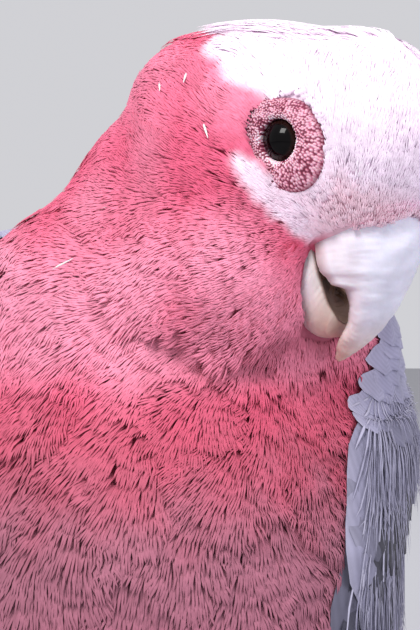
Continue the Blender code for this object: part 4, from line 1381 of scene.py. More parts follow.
# %% Each tuft's place in its contour feather
shaft_tree = tree_of(shafts)
own_shaft = np.array([shaft_tree.find(place)[1] for place in roots])
shaft_size = coat_row(FEATHERS, shafts)[own_shaft]
from_shaft = (roots - shafts[own_shaft]) / shaft_size[:, None]
beside_lie = np.cross(normals, lies)
out_from_shaft = (from_shaft * beside_lie).sum(-1)
down_feather = (from_shaft * lies).sum(-1)
chance = np.random.default_rng(8).normal(size=(len(shafts), 4))[own_shaft]  # for turn, tone, height, shade
fanned = out_from_shaft * 2 * coat_row(FANS, roots)
turned = np.radians(fanned + 5.0 * chance[:, 0] * step(from_bill(roots), 10, 40))
lies = unit(lies * np.cos(turned)[:, None] + beside_lie * np.sin(turned)[:, None])


# %% How long each tuft is
RIM_BAND, RIM_LENGTH, SHORTEST = 1.0, 1.3, 1.0  # mm


def toward_ring(points, ways):
    """How far a tuft may run before its tip lies over the bare ring in front of or above it."""
    gap, _way = rim_gap(points)
    ahead = rim_gap(points + ways * 0.5)[0]
    closing = np.clip((gap - ahead) / 0.5, 0.05, 1)
    return np.where((ahead < gap) & (gap < 12), (gap + 1.0) / closing, FAR)


lengths = coat_row(LENGTHS, roots) * (1 - 0.22 * np.clip(2 * np.abs(out_from_shaft), 0, 1) ** 2)
lengths = np.clip(np.minimum(lengths, toward_ring(roots + normals * 0.8, lies)), SHORTEST, None)
tips = roots + normals * coat_depth(roots)[:, None] + lies * 0.9 * lengths[:, None]
gap, way = rim_gap(roots)
by_rim = (gap < RIM_BAND) & (behind_eye(way) < 0.5)
lengths[by_rim] = np.minimum(lengths[by_rim], RIM_LENGTH)
on_horn = bare_bill(tips, out_of_bill(tips) - 1.2)
lengths[on_horn] = 0.0  # these are left out below
print("tufts left out because they would cover the bill:", int(on_horn.sum()))

# %% [markdown]
# ## The unwrap of the skin, for the colours of the export
# When the model is exported its colours are baked into images, where every face needs a place of its own.
# The skin is unrolled by the body's chart, and each tuft gets a small patch at its root's place.

# %% Unwrap
TUFT_PATCH = 0.003


def unwrap(points):
    """Place of each root on the skin unrolled round the inner line; the two thighs are strips above it."""
    t, angle, nearest = on_line(points)
    away = unit(points - LINE_POINTS[nearest])
    over_crown = np.degrees(np.arcsin(np.clip(-(away * LINE_WAYS[nearest]).sum(-1), -1, 1)))
    t = t - 0.12 * np.clip(over_crown / 90, 0, 1) * (nearest == 0)
    u, v = 0.02 + 0.96 * (angle + 180) / 360, 0.02 + 0.84 * (t + 0.12) / 1.16
    leg = (points[:, 2] < 52) & (np.abs(points[:, 0]) > 4) & (points[:, 1] < 44)
    side = np.sign(points[:, 0])
    round_leg = np.arctan2(points[:, 1] - 24, points[:, 0] - side * 15.5) / (2 * math.pi) + 0.5
    u = np.where(leg, 0.02 + 0.46 * round_leg + 0.5 * (side > 0), u)
    v = np.where(leg, 0.89 + 0.09 * (points[:, 2] - 26) / 26, v)
    return np.column_stack([u, v])


def tuft_map(root_uv, along, across):
    """Each tuft's own small square at its root's place."""
    local = np.stack([across, along - 0.5], axis=-1) * TUFT_PATCH
    return (root_uv[:, None] + np.clip(local, -TUFT_PATCH / 2, TUFT_PATCH / 2)).reshape(-1, 2)


# %% [markdown]
# ## Loose edges of the plumage
# A calm galah's cheek and neck feathers form a ruff whose lower rim stands off the breast, and the breast's
# plumage stands over the front edge of the folded wings. Both are small lifts by the distance from an edge.

# %% The ruff's edge and the wings' front edges
RUFF_LIFT, BREAST_SUNK, WING_EDGE_LIFT = 1.2, 0.4, 1.4  # mm
RUFF_EDGE = [(-12, 181), (-4.9, 178), (0.1, 176.2), (6.7, 172.6), (13.2, 170.2), (19.9, 172.8), (24.9, 175)]


def over_ruff_edge(points):
    """Millimetres above the lower edge of the ruff, where the face's plumage ends over the breast."""
    rim = np.interp(points[:, 0], *np.array(RUFF_EDGE).T) + 1.2 * wander(points, 9, 57)
    return np.where(points[:, 1] < -6, points[:, 2] - rim, FAR)


def ruff_share(points):
    """The ruff stands off the breast in front and merges with it towards the bird's right shoulder."""
    return step(points[:, 0], -8, 6) * step(points[:, 0], 34, 27)


def wing_column(column):
    """A search tree of both wings' outer faces along one column, over the front part of the wing."""
    return tree_of(np.vstack([WINGS[side][1][:40, column] for side in (1, -1)]))


front_edges = [wing_column(0), wing_column(5)]


def beside_wing(points):
    """1 just in front of a folded wing's leading edge, where the plumage stands over it, -1 just behind."""
    from_edge, from_inside = (np.array([tree.find(p)[2] for p in points]) for tree in front_edges)
    ahead = from_inside - from_edge
    over_edge = step(from_edge, 6.5, 2.5) * step(ahead, 1.2, 2.8)
    return over_edge - step(from_inside, 14, 8) * step(ahead, 0.8, -1.0)


def extra_lift(points):
    """Lift of the tips in mm: the ruff's lower rim stands off the breast, which starts a little under it."""
    over = over_ruff_edge(points)
    above, below = step(over, 9, 3) * step(over, -0.3, 0.6), step(over, -6, -1) * step(over, 0.6, -0.3)
    lift = RUFF_LIFT * above - BREAST_SUNK * below
    return lift * ruff_share(points) + WING_EDGE_LIFT * beside_wing(points)


# %% [markdown]
# ## Growing a piece of coat
# A tuft's points start flat beside its root and are then drawn to their height over the curving coat. The
# painted shade of the slits, the locks' distance and the height of their backs all follow one strength.

# %% Grow a piece of coat


def shade_strength(chosen):
    """Darkness of the painted shade in each tuft's slits: its zone's contrast, by its side of the feather and
    by chance.
    """
    strength = contrast_at(roots[chosen]) * (0.60 + 0.55 * np.clip(np.abs(out_from_shaft[chosen]) * 2, 0, 1))
    strength = strength * np.clip(0.72 + 0.30 * chance[chosen, 3], 0.15, 1.1)
    return strength * (1 - 0.85 * step(rim_gap(roots[chosen])[0], 2.0, 0.5))


def tip_height(chosen, lift_tip):
    """Height of the tips over the coat: each feather's end lies on the next one's start, and what grows over
    horn or at a loose edge lies higher."""
    far = from_bill(roots[chosen])
    ledge = 0.05 * shaft_size[chosen] * step(down_feather[chosen], -0.4, 0.55)
    ledge = ledge + 0.16 * np.clip(chance[chosen, 2], -1.5, 1.5)
    over_horn = np.clip(0.6 - off_bill[chosen], 0, 1.6)
    shingled = step(far, 12, 30) * (1 - 0.6 * step(far, 62, 90))
    return lift_tip + ledge * shingled + extra_lift(roots[chosen]) + over_horn


def grow_coat(name, chosen, locks, seed, lift_tip=0.10):
    """Tufts at the chosen roots as one piece: root + along * lie + across * side, then three steps along the
    normal bring each point to its height over the coat, -depth at the root and the lift at the tip."""
    rng = np.random.default_rng(seed)
    count, at = len(chosen), roots[chosen]
    size = lengths[chosen] * rng.uniform(0.82, 1.12, count)
    wide = coat_row(HALF_WIDTHS, at) * rng.uniform(0.9, 1.1, count)
    strength = shade_strength(chosen)
    keel = wide * (0.10 + 0.35 * np.clip(strength, 0, 1))
    crowd = 0.70 + 0.22 * np.clip(strength, 0, 1)
    along, across, relief, dark = tuft_template(size, wide, locks, rng, keel, crowd=crowd)
    root, normal, lie = at[:, None], normals[chosen][:, None], lies[chosen][:, None]
    side = np.cross(normal, lie)
    points = root + along[..., None] * lie + across[..., None] * side
    depth = coat_depth(at)[:, None]
    steep = 1 - 0.35 * step(rim_gap(at)[0], 2.0, 0.5)
    rise = np.clip(along / size[:, None] / (0.50 * steep[:, None]), 0, 1) ** 0.75
    height = -depth + (depth + tip_height(chosen, lift_tip)[:, None]) * rise + relief
    for _ in range(3):
        points = points + normal * (height - level(points, FLESH))[..., None]
    flat = points.reshape(-1, 3)
    tone = (1 + 0.03 * chance[chosen, 1] + rng.normal(0, 0.03, count))[:, None, None]
    # Painted shade: the locks' slits by their strength, the breast in the ruff's shade, and each feather's
    # start in the shade of the one in front.
    over = over_ruff_edge(at)
    under = 0.35 * step(over, -6, -1) * step(over, 3, 0) * ruff_share(at)
    under = under + 0.22 * strength * step(down_feather[chosen], -0.1, -0.5)
    dark = dark * strength[:, None] + under[:, None]
    colour = deepened(plumage(flat).reshape(*along.shape, 3), dark) * tone
    uv = tuft_map(unwrap(at), along / size[:, None], across / size[:, None])
    return new_piece(name, flat, tuft_faces(count, locks), PLUMAGE, colour.reshape(-1, 3), {"OFBake": uv})


# %% The pieces of the coat
COAT_PIECES = [  # name, nearest and furthest from the bill, locks per tuft
    ("coat_face", 0, 17, 5),
    ("coat_head", 17, 40, 6),
    ("coat_neck", 40, 66, 7),
    ("coat_body", 66, 400, 7),
]
MOST_TRIANGLES = 180000  # in one piece of coat
far_from_bill = from_bill(roots)
coat_total = 0
for title, nearest, furthest, locks in COAT_PIECES:
    members = np.where((far_from_bill >= nearest) & (far_from_bill < furthest) & (lengths > 0))[0]
    members = members[np.argsort(on_line(roots[members])[1])]
    parts = np.array_split(members, math.ceil(len(members) * len(tuft_faces(1, locks)) / MOST_TRIANGLES))
    for number, chosen in enumerate(parts):
        tufts = grow_coat(f"{title}_{number + 1}", chosen, locks, 100 + number)
        coat_total += finish_piece(tufts, "plumage")
finish_piece(skin, "plumage", "head", "neck", "trunk", "thigh_left", "thigh_right")
print("coat:", coat_total, "triangles")

# %% [markdown]
# ## The crest
# The galah's crest lies flat when it is calm: long pale feathers that start on the forehead and end in loose
# tips over the nape. They are laid in rows in the angles that the CAD crest spans, as longer tufts.

# %% Crest feathers
CREST_FROM, CREST_TO = 62.0, 176.0  # degrees over the head from straight ahead
CREST_HALF_ANGLE = [12, 24, 30, 32, 27, 14]
CREST_ROWS, CREST_LOCKS, CREST_SPACING = 17, 9, 2.2
CREST_LOCK_WIDTH = 0.30  # mm, the half of it
CROWN_RADIUS = 19.0  # mm from the head's middle to the crown, for turning lengths into angles
DEGREES_PER_MM = 180 / math.pi / CROWN_RADIUS


def crown_ray(over, aside):
    """Direction out of the head: over from straight ahead across the top, aside towards its left."""
    over, aside = np.radians(over), np.radians(aside)
    flat = [np.sin(aside), -np.cos(aside) * np.cos(over), np.cos(aside) * np.sin(over)]
    return np.stack(flat, axis=-1) @ HEAD_AXES.T


def crest_roots(rng):
    """Staggered rows over the crown: the share of the way back and the angle aside of each feather."""
    share, aside = [], []
    for k, s in enumerate(np.linspace(0.0, 0.84, CREST_ROWS)):
        half = row(CREST_HALF_ANGLE, s)
        number = max(int(half * 2 * CROWN_RADIUS * math.pi / 180 / CREST_SPACING), 3)
        places = np.linspace(-1, 1, number + k % 2)
        aside.append(places * half * 0.94)
        share.append(np.full(len(places), s))
    share, aside = np.concatenate(share), np.concatenate(aside)
    return share + rng.normal(0, 0.014, len(share)), aside


def crest_piece():
    """Tufts on the crown: along is an angle back, across an angle aside, and rays carry the points to their
    height, which rises from root to tip and is low at the crest's edges."""
    rng = np.random.default_rng(61)
    share, aside = crest_roots(rng)
    count = len(share)
    over = CREST_FROM + (CREST_TO - CREST_FROM) * share
    size = np.interp(share, [0, 0.4, 0.8], [7.0, 12.0, 14.0]) * rng.uniform(0.85, 1.1, count)
    size = np.minimum(size, (CREST_TO - over) * math.pi / 180 * CROWN_RADIUS + rng.uniform(0.0, 0.8, count))
    wide = np.full(count, CREST_LOCK_WIDTH)
    along, across, relief, dark = tuft_template(size, wide, CREST_LOCKS, rng, 0.2 * wide, fan=14.0)
    over_all = over[:, None] + along * DEGREES_PER_MM
    narrowing = 1 - 0.30 * step(over_all, 120, 180)
    aside_all = (aside[:, None] + rng.normal(0, 0.16, (count, 1)) * along) * narrowing
    rays_out = crown_ray(over_all, aside_all + across * DEGREES_PER_MM)
    reach_share = np.clip((over_all - CREST_FROM) / (CREST_TO - CREST_FROM), 0, 1.1)
    rise = np.clip(along / size[:, None] / 0.5, 0, 1)
    edge = 1 - 0.95 * np.clip(np.abs(aside) / row(CREST_HALF_ANGLE, share), 0, 1) ** 3
    height = -0.1 + (0.15 + 1.05 * edge[:, None]) * rise + 0.2 * reach_share**5 * rise + relief
    origins = np.broadcast_to(from_head(LINE_IN_HEAD[1]), rays_out.shape)
    points = reach(origins, rays_out, height, COAT).reshape(-1, 3)
    rosy = 0.25 * step(np.repeat(np.abs(aside), along.shape[1]), 14, 30) * step(reach_share.ravel(), 0.5, 0.9)
    # A faint painted shade in the slits between the crest's locks.
    tint = deepened(blend(CAP, FACE_PALE, rosy), dark.ravel() * 0.10)
    uv = np.column_stack([0.5 + aside / 90, 0.05 + 0.8 * share])
    bake = tuft_map(uv, along / size[:, None], across / size[:, None])
    faces = tuft_faces(count, CREST_LOCKS)
    return new_piece("crest_feathers", points, faces, CREST_FEATHER, tint, {"OFBake": bake})


finish_piece(crest_piece(), "crest", "crest")

# %% [markdown]
# ## New feathers in their sheaths
# A moulting parrot shows a few new feathers still rolled in white horny sheaths. Each is a slim cone that
# starts in the plumage and lies on it. There are so few that their places are simply listed.

# %% Pin feathers
PINS = [  # where each starts, in the bird's measure; its turn from level in degrees; its length
    ((-8.9, -9.1, 191.4), -4, 2.6),
    ((-15.2, -12.9, 183.0), 12, 3.6),
    ((-13.6, 5.9, 197.2), 30, 2.4),
    ((6.5, -17.1, 214.9), -70, 2.0),
    ((2.1, -14.2, 213.5), -50, 2.4),
    ((8.9, -24.3, 205.9), -60, 2.2),
]
PIN_RADIUS = 0.22


def pin_feathers(rings=7, sides=8):
    """Closed cones round a straight line, whose radius falls to a quarter, lifted a little at the tip."""
    turn = full_turn(sides)
    along = np.linspace(-0.25, 1, rings)
    parts = []
    for place, degrees, length in PINS:
        nearest = np.linalg.norm(roots - place, axis=1).argmin()
        out = normals[nearest]
        base = roots[nearest] + out * (coat_depth(roots[nearest][None]) + 0.25)
        way = np.array([math.cos(math.radians(degrees)), 0.0, math.sin(math.radians(degrees))])
        way = unit(way - out * way.dot(out) + 0.12 * out)
        aside = np.cross(out, way)
        ring = np.cos(turn)[:, None] * aside + np.sin(turn)[:, None] * np.cross(way, aside)
        thick = PIN_RADIUS * np.interp(along, [-0.25, 0.2, 1.0], [0.7, 1.0, 0.25])
        middle = base + along[:, None] * length * way
        parts.append(closed_rings(middle[:, None] + thick[:, None, None] * ring))
    return parts


points, faces = merged(pin_feathers())
tint = srgb("F4EFEF") * (1 + 0.06 * wander(points, 1.0, 47))[:, None]
pins = new_piece("pin_feather_sheaths", points, faces, BILL_HORN, tint)
finish_piece(faces_out(pins), "plumage")

# %% [markdown]
# ## Wings
# A folded wing shows rows of small coverts at the shoulder, larger ones below, then the secondaries, and the
# long primaries that reach back to the tail. A smooth bed lies under them all, so that no gap shows through,
# its near-black the feathers' dark bases and painted shade. A covert is one thin rounded sheet, and over the
# lower ones lie tufts of loose barbs.

# %% Bed of the wing
# The near-black is the feathers' dark bases and painted shade in the gaps under the wing's feathers.
COVERT, COVERT_EDGE, FLIGHT, DARK_BASES_AND_SHADE = srgb("9896B2"), srgb("C2C0D4"), srgb("62627A"), srgb("232228")


def wing_bed(word, side):
    """The wing's closed inner shell, from its inner face up to half its thickness."""
    rows, columns = 60, 26
    share, across = np.meshgrid(np.linspace(0, 1, rows), np.linspace(0.06, 0.98, columns), indexing="ij")
    inner = on_wing(side, share, across, np.full(share.shape, 0.05))
    top = on_wing(side, share, across, 0.05 + 0.5 * np.clip(4 * across * (1 - across), 0.02, 1) ** 0.5)
    rings = np.concatenate([inner, top[:, ::-1]], axis=1)
    points, faces = closed_rings(rings)
    # Near black: the feathers' dark bases and painted shade in the gaps between them.
    tint = DARK_BASES_AND_SHADE * (1 + 0.15 * wander(points, 6, 71))[:, None]
    piece = new_piece(f"wing_{word}_bed", points, faces, BODY_SKIN, tint)
    return faces_out(piece)


def wing_scales(side):
    """Millimetres per unit share along and across each place of the wing, as grids."""
    outer = WINGS[side][1]
    along = np.linalg.norm(np.gradient(outer, 1 / (WING_STEPS[0] - 1), axis=0), axis=-1)
    across = np.linalg.norm(np.gradient(outer, 1 / (WING_STEPS[1] - 1), axis=1), axis=-1)
    return along, across


def read_scale(grid, share, across):
    """The nearest value of such a grid, but at least 4 mm, since the wing narrows to nothing at its end."""
    i = np.clip(np.round(share * (WING_STEPS[0] - 1)).astype(int), 0, WING_STEPS[0] - 1)
    j = np.clip(np.round(across * (WING_STEPS[1] - 1)).astype(int), 0, WING_STEPS[1] - 1)
    return np.maximum(grid[i, j], 4.0)


# %% Coverts
COVERT_ROWS = 17
COVERTS_FROM, COVERTS_LONG, COVERTS_SPREAD = -0.012, 0.385, 1.25  # shares of the wing, and their power
COVERT_GAPS = [0, 10, COVERT_ROWS - 1], [2.1, 3.8, 5.6]  # rows, and mm between neighbours there
COVERT_LENGTHS = [0, 7, COVERT_ROWS - 1], [5.6, 10.0, 22.0]  # rows, and mm
# How much of the dark bases and their painted shade shows on each wing.
BASES_AND_SHADE_SHOWING = {1: 0.9, -1: 0.25}  # the left wing's plumage is the more ruffled


def covert_roots(side, rng):
    """Rows of roots from the shoulder to the greater coverts, staggered, with the lengths they carry."""
    _along, wide = wing_scales(side)
    share, across, size = [], [], []
    for k in range(COVERT_ROWS):
        s = COVERTS_FROM + COVERTS_LONG * (k / (COVERT_ROWS - 1)) ** COVERTS_SPREAD
        width = wide[int(np.clip(s, 0, 1) * (WING_STEPS[0] - 1))].mean()
        number = max(int(width / np.interp(k, *COVERT_GAPS)), 3)
        across.append((np.arange(number) + (0.5 if k % 2 else 0.0)) / number)
        share.append(np.full(number, s))
        size.append(np.full(number, np.interp(k, *COVERT_LENGTHS)))
    share, across, size = (np.concatenate(v) for v in (share, across, size))
    share = share + rng.normal(0, 0.004, len(share))
    across = np.clip(across + rng.normal(0, 0.008, len(share)), 0.0, 1.0)
    size = size * rng.uniform(0.9, 1.1, len(share))
    margin = 0.01 + 0.02 * step(share, 0.05, 0.25)
    return share, np.maximum(across, margin + 0.34 * size / read_scale(wide, share, across)), size


VANE_ROWS, VANE_COLUMNS = 10, 7  # of points in a covert's sheet


def covert_vane(size):
    """A covert's sheet in mm: it swells from the quill and closes as the root of 1 - distance^2, with a
    middle that stands up as 1 - u^2."""
    v, u = np.linspace(0, 1, VANE_ROWS) ** 0.85, np.linspace(-1, 1, VANE_COLUMNS)
    v, u = np.meshgrid(v, u, indexing="ij")
    swell = 0.35 + 0.65 * step(v, 0, 0.45)
    close = np.sqrt(np.clip(1 - (np.clip(v - 0.5, 0, None) / 0.5) ** 2, 0.002, 1))
    along, across = (v * np.ones_like(u)).ravel(), (u * 0.36 * swell * close).ravel()
    return along * size[:, None], across * size[:, None], (1 - u**2).ravel(), u.ravel()


def laid_on_wing(side, share, across, along_mm, across_mm, drift, height):
    """Feathers measured in millimetres from their roots, laid on the wing at that height in its thickness."""
    long, wide = wing_scales(side)
    s = share[:, None] + along_mm / read_scale(long, share, across)[:, None]
    a = across[:, None] + (across_mm + drift * along_mm) / read_scale(wide, share, across)[:, None]
    edge = 0.72 + 0.28 * np.clip(4 * a * (1 - a), 0, 1) ** 0.3
    return on_wing(side, s, a, np.clip(height, 0, 1.25) * edge).reshape(-1, 3)


def covert_tint(points, share, pale):
    """Blue-grey, paler at the leading edge and the feathers' rims, darker down the wing."""
    base = blend(COVERT, FLIGHT, step(share, 0.08, 0.34) * 0.9)
    base = blend(base, COVERT_EDGE, np.clip(pale, 0, 1))
    return base * (1 + 0.06 * wander(points, 8, 82))[:, None]


def wing_map(share, across, along, beside):
    """Places in the OFBake map: each feather has a patch at its root's place on the wing."""
    root_uv = np.column_stack([0.05 + 0.9 * across, 0.05 + 2.2 * np.clip(share, 0, 0.4)])
    return tuft_map(root_uv, along, beside)


def covert_vanes(word, side, share, across, size, rng):
    """The sheets of the coverts as one piece, each lying higher to its end, so that the rows overlap."""
    count = len(share)
    along, beside, crown, u = covert_vane(size)
    drift = 0.10 * np.clip(across - 0.35, 0, 1)[:, None] + rng.normal(0, 0.02, (count, 1))
    height = 0.36 + 0.46 * along / size[:, None] + 0.10 * crown
    points = laid_on_wing(side, share, across, along, beside, drift, height)
    s, a = np.repeat(share, along.shape[1]), np.repeat(across, along.shape[1])
    rim = step(np.abs(np.tile(u, count)), 0.6, 1.0) * step((along / size[:, None]).ravel(), 0.2, 0.6)
    tint = covert_tint(points, s, 0.30 * rim + 0.55 * step(a, 0.10, 0.0))
    # The wing's upper middle, where its plumage is ruffled, is darkened: the feathers' own dark bases and
    # painted shade in the gaps between them.
    inside = step(s, 0.08, 0.20) * step(a, 0.03, 0.12) * (1 - 0.75 * step(a, 0.32, 0.5))
    tint = blend(tint, DARK_BASES_AND_SHADE, BASES_AND_SHADE_SHOWING[side] * inside * (1 - 0.4 * step(s, 0.30, 0.38)))
    faces = grid_faces(VANE_ROWS, VANE_COLUMNS)[:, ::-1]
    faces = (faces + (np.arange(count) * VANE_ROWS * VANE_COLUMNS)[:, None, None]).reshape(-1, 4)
    vane_uv = np.column_stack([beside.ravel(), (along + np.abs(beside) * 1.1).ravel()])
    uv = {"OFBake": wing_map(share, across, along / size[:, None], beside / size[:, None]), "Vane": vane_uv}
    return new_piece(f"wing_{word}_covert_feathers", points, faces, WING_VANE, tint, uv)


def covert_barbs(word, side, share, across, size, rng):
    """Tufts of loose barbs on the lower coverts as one piece; two tufts each where neither the dark bases nor
    their painted shade show.
    """
    lower = np.where(share > 0.07)[0]
    full = lower[(share[lower] < 0.10) | (across[lower] > 0.42)]
    lower = np.concatenate([lower, full])
    count = len(lower)
    loose = size[lower] * rng.uniform(0.55, 0.8, count)
    wide = rng.uniform(0.10, 0.17, count)
    along, beside, relief, dark = tuft_template(loose, wide, 7, rng, 0.4 * wide, fan=24.0, crowd=2.9)
    share = share[lower] + rng.uniform(0.004, 0.055, count)
    across = np.clip(across[lower] + rng.normal(0, 0.03, count), 0.08, 1)
    drift = 0.10 * (across - 0.35)[:, None] + rng.normal(0, 0.15, (count, 1))
    height = 0.62 + 0.42 * along / loose[:, None] + 0.3 * relief
    points = laid_on_wing(side, share, across, along, beside, drift, height)
    paler = np.repeat(rng.uniform(0.2, 1.0, count), along.shape[1])
    tint = covert_tint(points, np.repeat(0.04 + 0.75 * share, along.shape[1]), 0.8 * paler)
    # Painted shade in the slits between the loose barbs.
    tint = deepened(tint, dark.ravel() * 0.9)
    uv = {"OFBake": wing_map(share, across, along / loose[:, None], beside / loose[:, None])}
    return new_piece(f"wing_{word}_covert_barbs", points, tuft_faces(count, 7), PLUMAGE, tint, uv)


def coverts(word, side):
    """Both layers of a wing's coverts; their random numbers are drawn in a row."""
    rng = np.random.default_rng(80 + side)
    share, across, size = covert_roots(side, rng)
    vanes = covert_vanes(word, side, share, across, size, rng)
    return vanes, covert_barbs(word, side, share, across, size, rng)


# %% [markdown]
# ## Flight feathers
# A flight feather is a stiff vane on a strong shaft. It is one closed solid here, a top and a bottom sheet
# that meet at the rim, with the shaft as a ridge. The same form serves wing and tail.

# %% Flight feathers
SECONDARIES, PRIMARIES = 11, 10


def flight_vane(place, half_width, rows=34, columns=9, blunt=0.10, thick=0.28):
    """A closed vane: place(v, u) gives points for v from root to tip and u across. Its half-width swells from
    a bare quill and closes at the tip as the root of 1 - distance^2; the shaft is a ridge."""
    v = np.linspace(0, 1, rows) ** 0.9
    u = np.linspace(-1, 1, columns)
    swell = 0.25 + 0.75 * step(v, 0.0, 0.22)
    close = np.sqrt(np.clip(1 - (np.clip(v - (1 - blunt), 0, None) / blunt) ** 2, 0.004, 1))
    width = half_width * swell * close
    shaft = 0.35 * np.exp(-((u * 8) ** 2)) * (1 - 0.7 * v[:, None])
    crown = 0.5 * (1 - u**2) * np.ones((rows, 1))
    top = place(v[:, None] + 0 * u, width[:, None] * u, crown + shaft + thick / 2)
    bottom = place(v[:, None] + 0 * u, width[:, None] * u, crown - thick / 2)
    rings = np.concatenate([top, bottom[:, ::-1]], axis=1)
    vane_uv = np.stack([width[:, None] * u, np.repeat(v[:, None], columns, 1)], axis=-1)
    return rings, vane_uv, u, v


def feather_tint(u, v, centre, edge, rng):
    """Darker along the shaft and at the tip, paler at the outer edge, on both faces of the vane."""
    across = np.concatenate([u, u[::-1]])
    pale = step(np.abs(across), 0.55, 1.0)[None, :] * np.ones((len(v), 1))
    tint = blend(centre, edge, 0.75 * pale.ravel())
    dark = 1 - 0.35 * np.exp(-((across * 7) ** 2))[None, :] - 0.16 * step(v, 0.6, 1.0)[:, None]
    tint = tint * dark.ravel()[:, None] * rng.normal(1, 0.05)
    return np.vstack([tint, tint[:1], tint[-1:]])


def join_vanes(name, vanes, finish):
    """Many closed vanes as one piece, with each vane's Vane map and its own strip of the OFBake map."""
    forms, tints, maps, bakes = [], [], [], []
    for number, (rings, vane_uv, u, v, tint, length) in enumerate(vanes):
        forms.append(closed_rings(rings))
        tints.append(tint)
        both = np.concatenate([vane_uv, vane_uv[:, ::-1]], axis=1).reshape(-1, 2)
        flat = np.vstack([both, both[:1], both[-1:]])
        maps.append(np.column_stack([flat[:, 0], flat[:, 1] * length + np.abs(flat[:, 0]) * 1.2]))
        columns = len(u)
        side_u = np.concatenate([np.linspace(0.04, 0.46, columns), np.linspace(0.96, 0.54, columns)])
        strip = np.stack(np.broadcast_arrays(side_u[None, :], v[:, None]), axis=-1).reshape(-1, 2)
        strip = np.vstack([strip, [[0.25, 0.0]], [[0.25, 1.0]]])
        bakes.append((strip * [0.96 / len(vanes), 0.96]) + [0.02 + 0.96 * number / len(vanes), 0.02])
    points, faces = merged(forms)
    uv = {"OFBake": np.vstack(bakes), "Vane": np.vstack(maps)}
    return new_piece(name, points, faces, finish, np.vstack(tints), uv)


def wing_vane(side, root, tip, half_width, stack, rng, centre, edge, curve=0.0):
    """A flight feather along the wing from one (share, across) place to another; stack is its layer."""
    long, wide = wing_scales(side)
    (s0, a0), (s1, a1) = root, tip
    length = float(read_scale(long, np.array((s0 + s1) / 2), np.array((a0 + a1) / 2))) * (s1 - s0)

    def place(v, offset, rise):
        """A point of the vane: its line over the wing, moved aside and up in millimetres."""
        s = s0 + (s1 - s0) * v
        a = a0 + (a1 - a0) * v + curve * v * (1 - v)
        per_mm = 1 / read_scale(wide, s, np.clip(a, 0.1, 0.9))
        a_here = a + offset * per_mm
        base = on_wing(side, s, a_here, stack * np.ones_like(s))
        up = unit(on_wing(side, s, a_here, np.ones_like(s)) - on_wing(side, s, a_here, np.zeros_like(s)))
        return base + up * rise[..., None]

    rings, vane_uv, u, v = flight_vane(place, half_width)
    return rings, vane_uv, u, v, feather_tint(u, v, centre, edge, rng), length


def secondaries(word, side):
    """Eleven feathers whose roots hide under the greater coverts, the inner ones on top of the outer."""
    rng = np.random.default_rng(90 + side)
    vanes = []
    for k in range(SECONDARIES):
        at = 0.13 + 0.074 * k
        end = 0.60 + 0.085 * math.sin(math.pi * (k + 1) / (SECONDARIES + 1)) + 0.01 * (k > 7)
        root, tip, layer = (0.30, at), (end, at + 0.05), 0.42 + 0.028 * k
        vanes.append(wing_vane(side, root, tip, 5.6, layer, rng, COVERT * 0.84, COVERT_EDGE, 0.02))
    return join_vanes(f"wing_{word}_secondary_feathers", vanes, FLIGHT_VANE)


def primaries(word, side):
    """Ten long feathers: the outermost lies lowest along the leading edge, and each tip steps back."""
    rng = np.random.default_rng(95 + side)
    vanes = []
    for k in range(PRIMARIES):
        at = 0.07 + 0.055 * k
        root, tip, layer = (0.36, at), (1.0 - 0.035 * k, 0.30 + 0.052 * k), 0.12 + 0.030 * k
        vanes.append(wing_vane(side, root, tip, 5.2, layer, rng, FLIGHT * 0.72, FLIGHT, -0.05))
    return join_vanes(f"wing_{word}_primary_feathers", vanes, FLIGHT_VANE)


for word, side in SIDES:
    finish_piece(wing_bed(word, side), "wing")
    for piece in coverts(word, side):
        finish_piece(piece, "wing", f"wing_{word}_coverts")
    for piece, node in ((secondaries(word, side), "secondaries"), (primaries(word, side), "primaries")):
        finish_piece(faces_out(piece), "flight", f"wing_{word}_{node}")

# %% [markdown]
# ## Tail
# Twelve feathers make the tail, square at the end. The middle pair lies on top, and the rest step down under
# it to both sides. Each is a closed vane along the tail's slope, as wide as its place in the CAD tail.

# %% Tail feathers
TAIL_ROOT, TAIL_TIP = np.array([74.0, 58.0]), np.array([188.0, 3.0])
TAIL_HALF_WIDTHS = 15.0, 26.0  # mm, at its root and its tip
TAIL_FEATHERS, TAIL_START = 12, 8.0


def tail_feathers():
    """Vanes side by side: x is a feather's place plus its own width, arched down at the sides, and the stack
    lowers each outer feather under the next inner one."""
    rng = np.random.default_rng(99)
    slope = unit(TAIL_TIP - TAIL_ROOT)
    length = float(np.linalg.norm(TAIL_TIP - TAIL_ROOT))
    vanes = []
    for k in range(TAIL_FEATHERS):
        across = (k + 0.5) / TAIL_FEATHERS * 2 - 1
        full = length - 12.0 * across**2 - rng.uniform(0, 1.5)

        def place(v, offset, rise, across=across, full=full):
            """A point of this vane, in the tail's own place."""
            along = TAIL_START + (full - TAIL_START) * v
            narrow, broad = TAIL_HALF_WIDTHS
            half = narrow + (broad - narrow) * (along / length) ** 0.7
            x = across * half * 0.86 + offset
            arch = -5.0 * (x / half) ** 2 * (1 - 0.75 * along / length)
            stack = 0.85 * (1 - np.abs(across)) * 2.2 - 1.0
            off = arch + (1 - 0.4 * along / length) * stack + 0.5 * rise
            back = TAIL_ROOT[0] + along * slope[0] - off * slope[1]
            up = TAIL_ROOT[1] + along * slope[1] + off * slope[0]
            return np.stack([x, back, up], axis=-1)

        rings, vane_uv, u, v = flight_vane(place, 6.4 - 1.2 * abs(across), rows=44, blunt=0.07, thick=0.4)
        tint = feather_tint(u, v, FLIGHT * 0.75, FLIGHT, rng)
        tint *= (1 - 0.45 * step(np.concatenate([np.repeat(v, 2 * len(u)), [0, 1]]), 0.35, 1.0))[:, None]
        vanes.append((rings, vane_uv, u, v, tint, full))
    return join_vanes("tail_feathers", vanes, FLIGHT_VANE)


finish_piece(faces_out(tail_feathers()), "flight", "tail")

# %% [markdown]
# ## Legs, feet and claws
# Parrots walk on two toes in front and two behind. The short shank is covered in small round scales and the
# toes in broad plates across their tops. Each is a tube whose radius rises and falls with the scales, its
# underside flat where it stands.

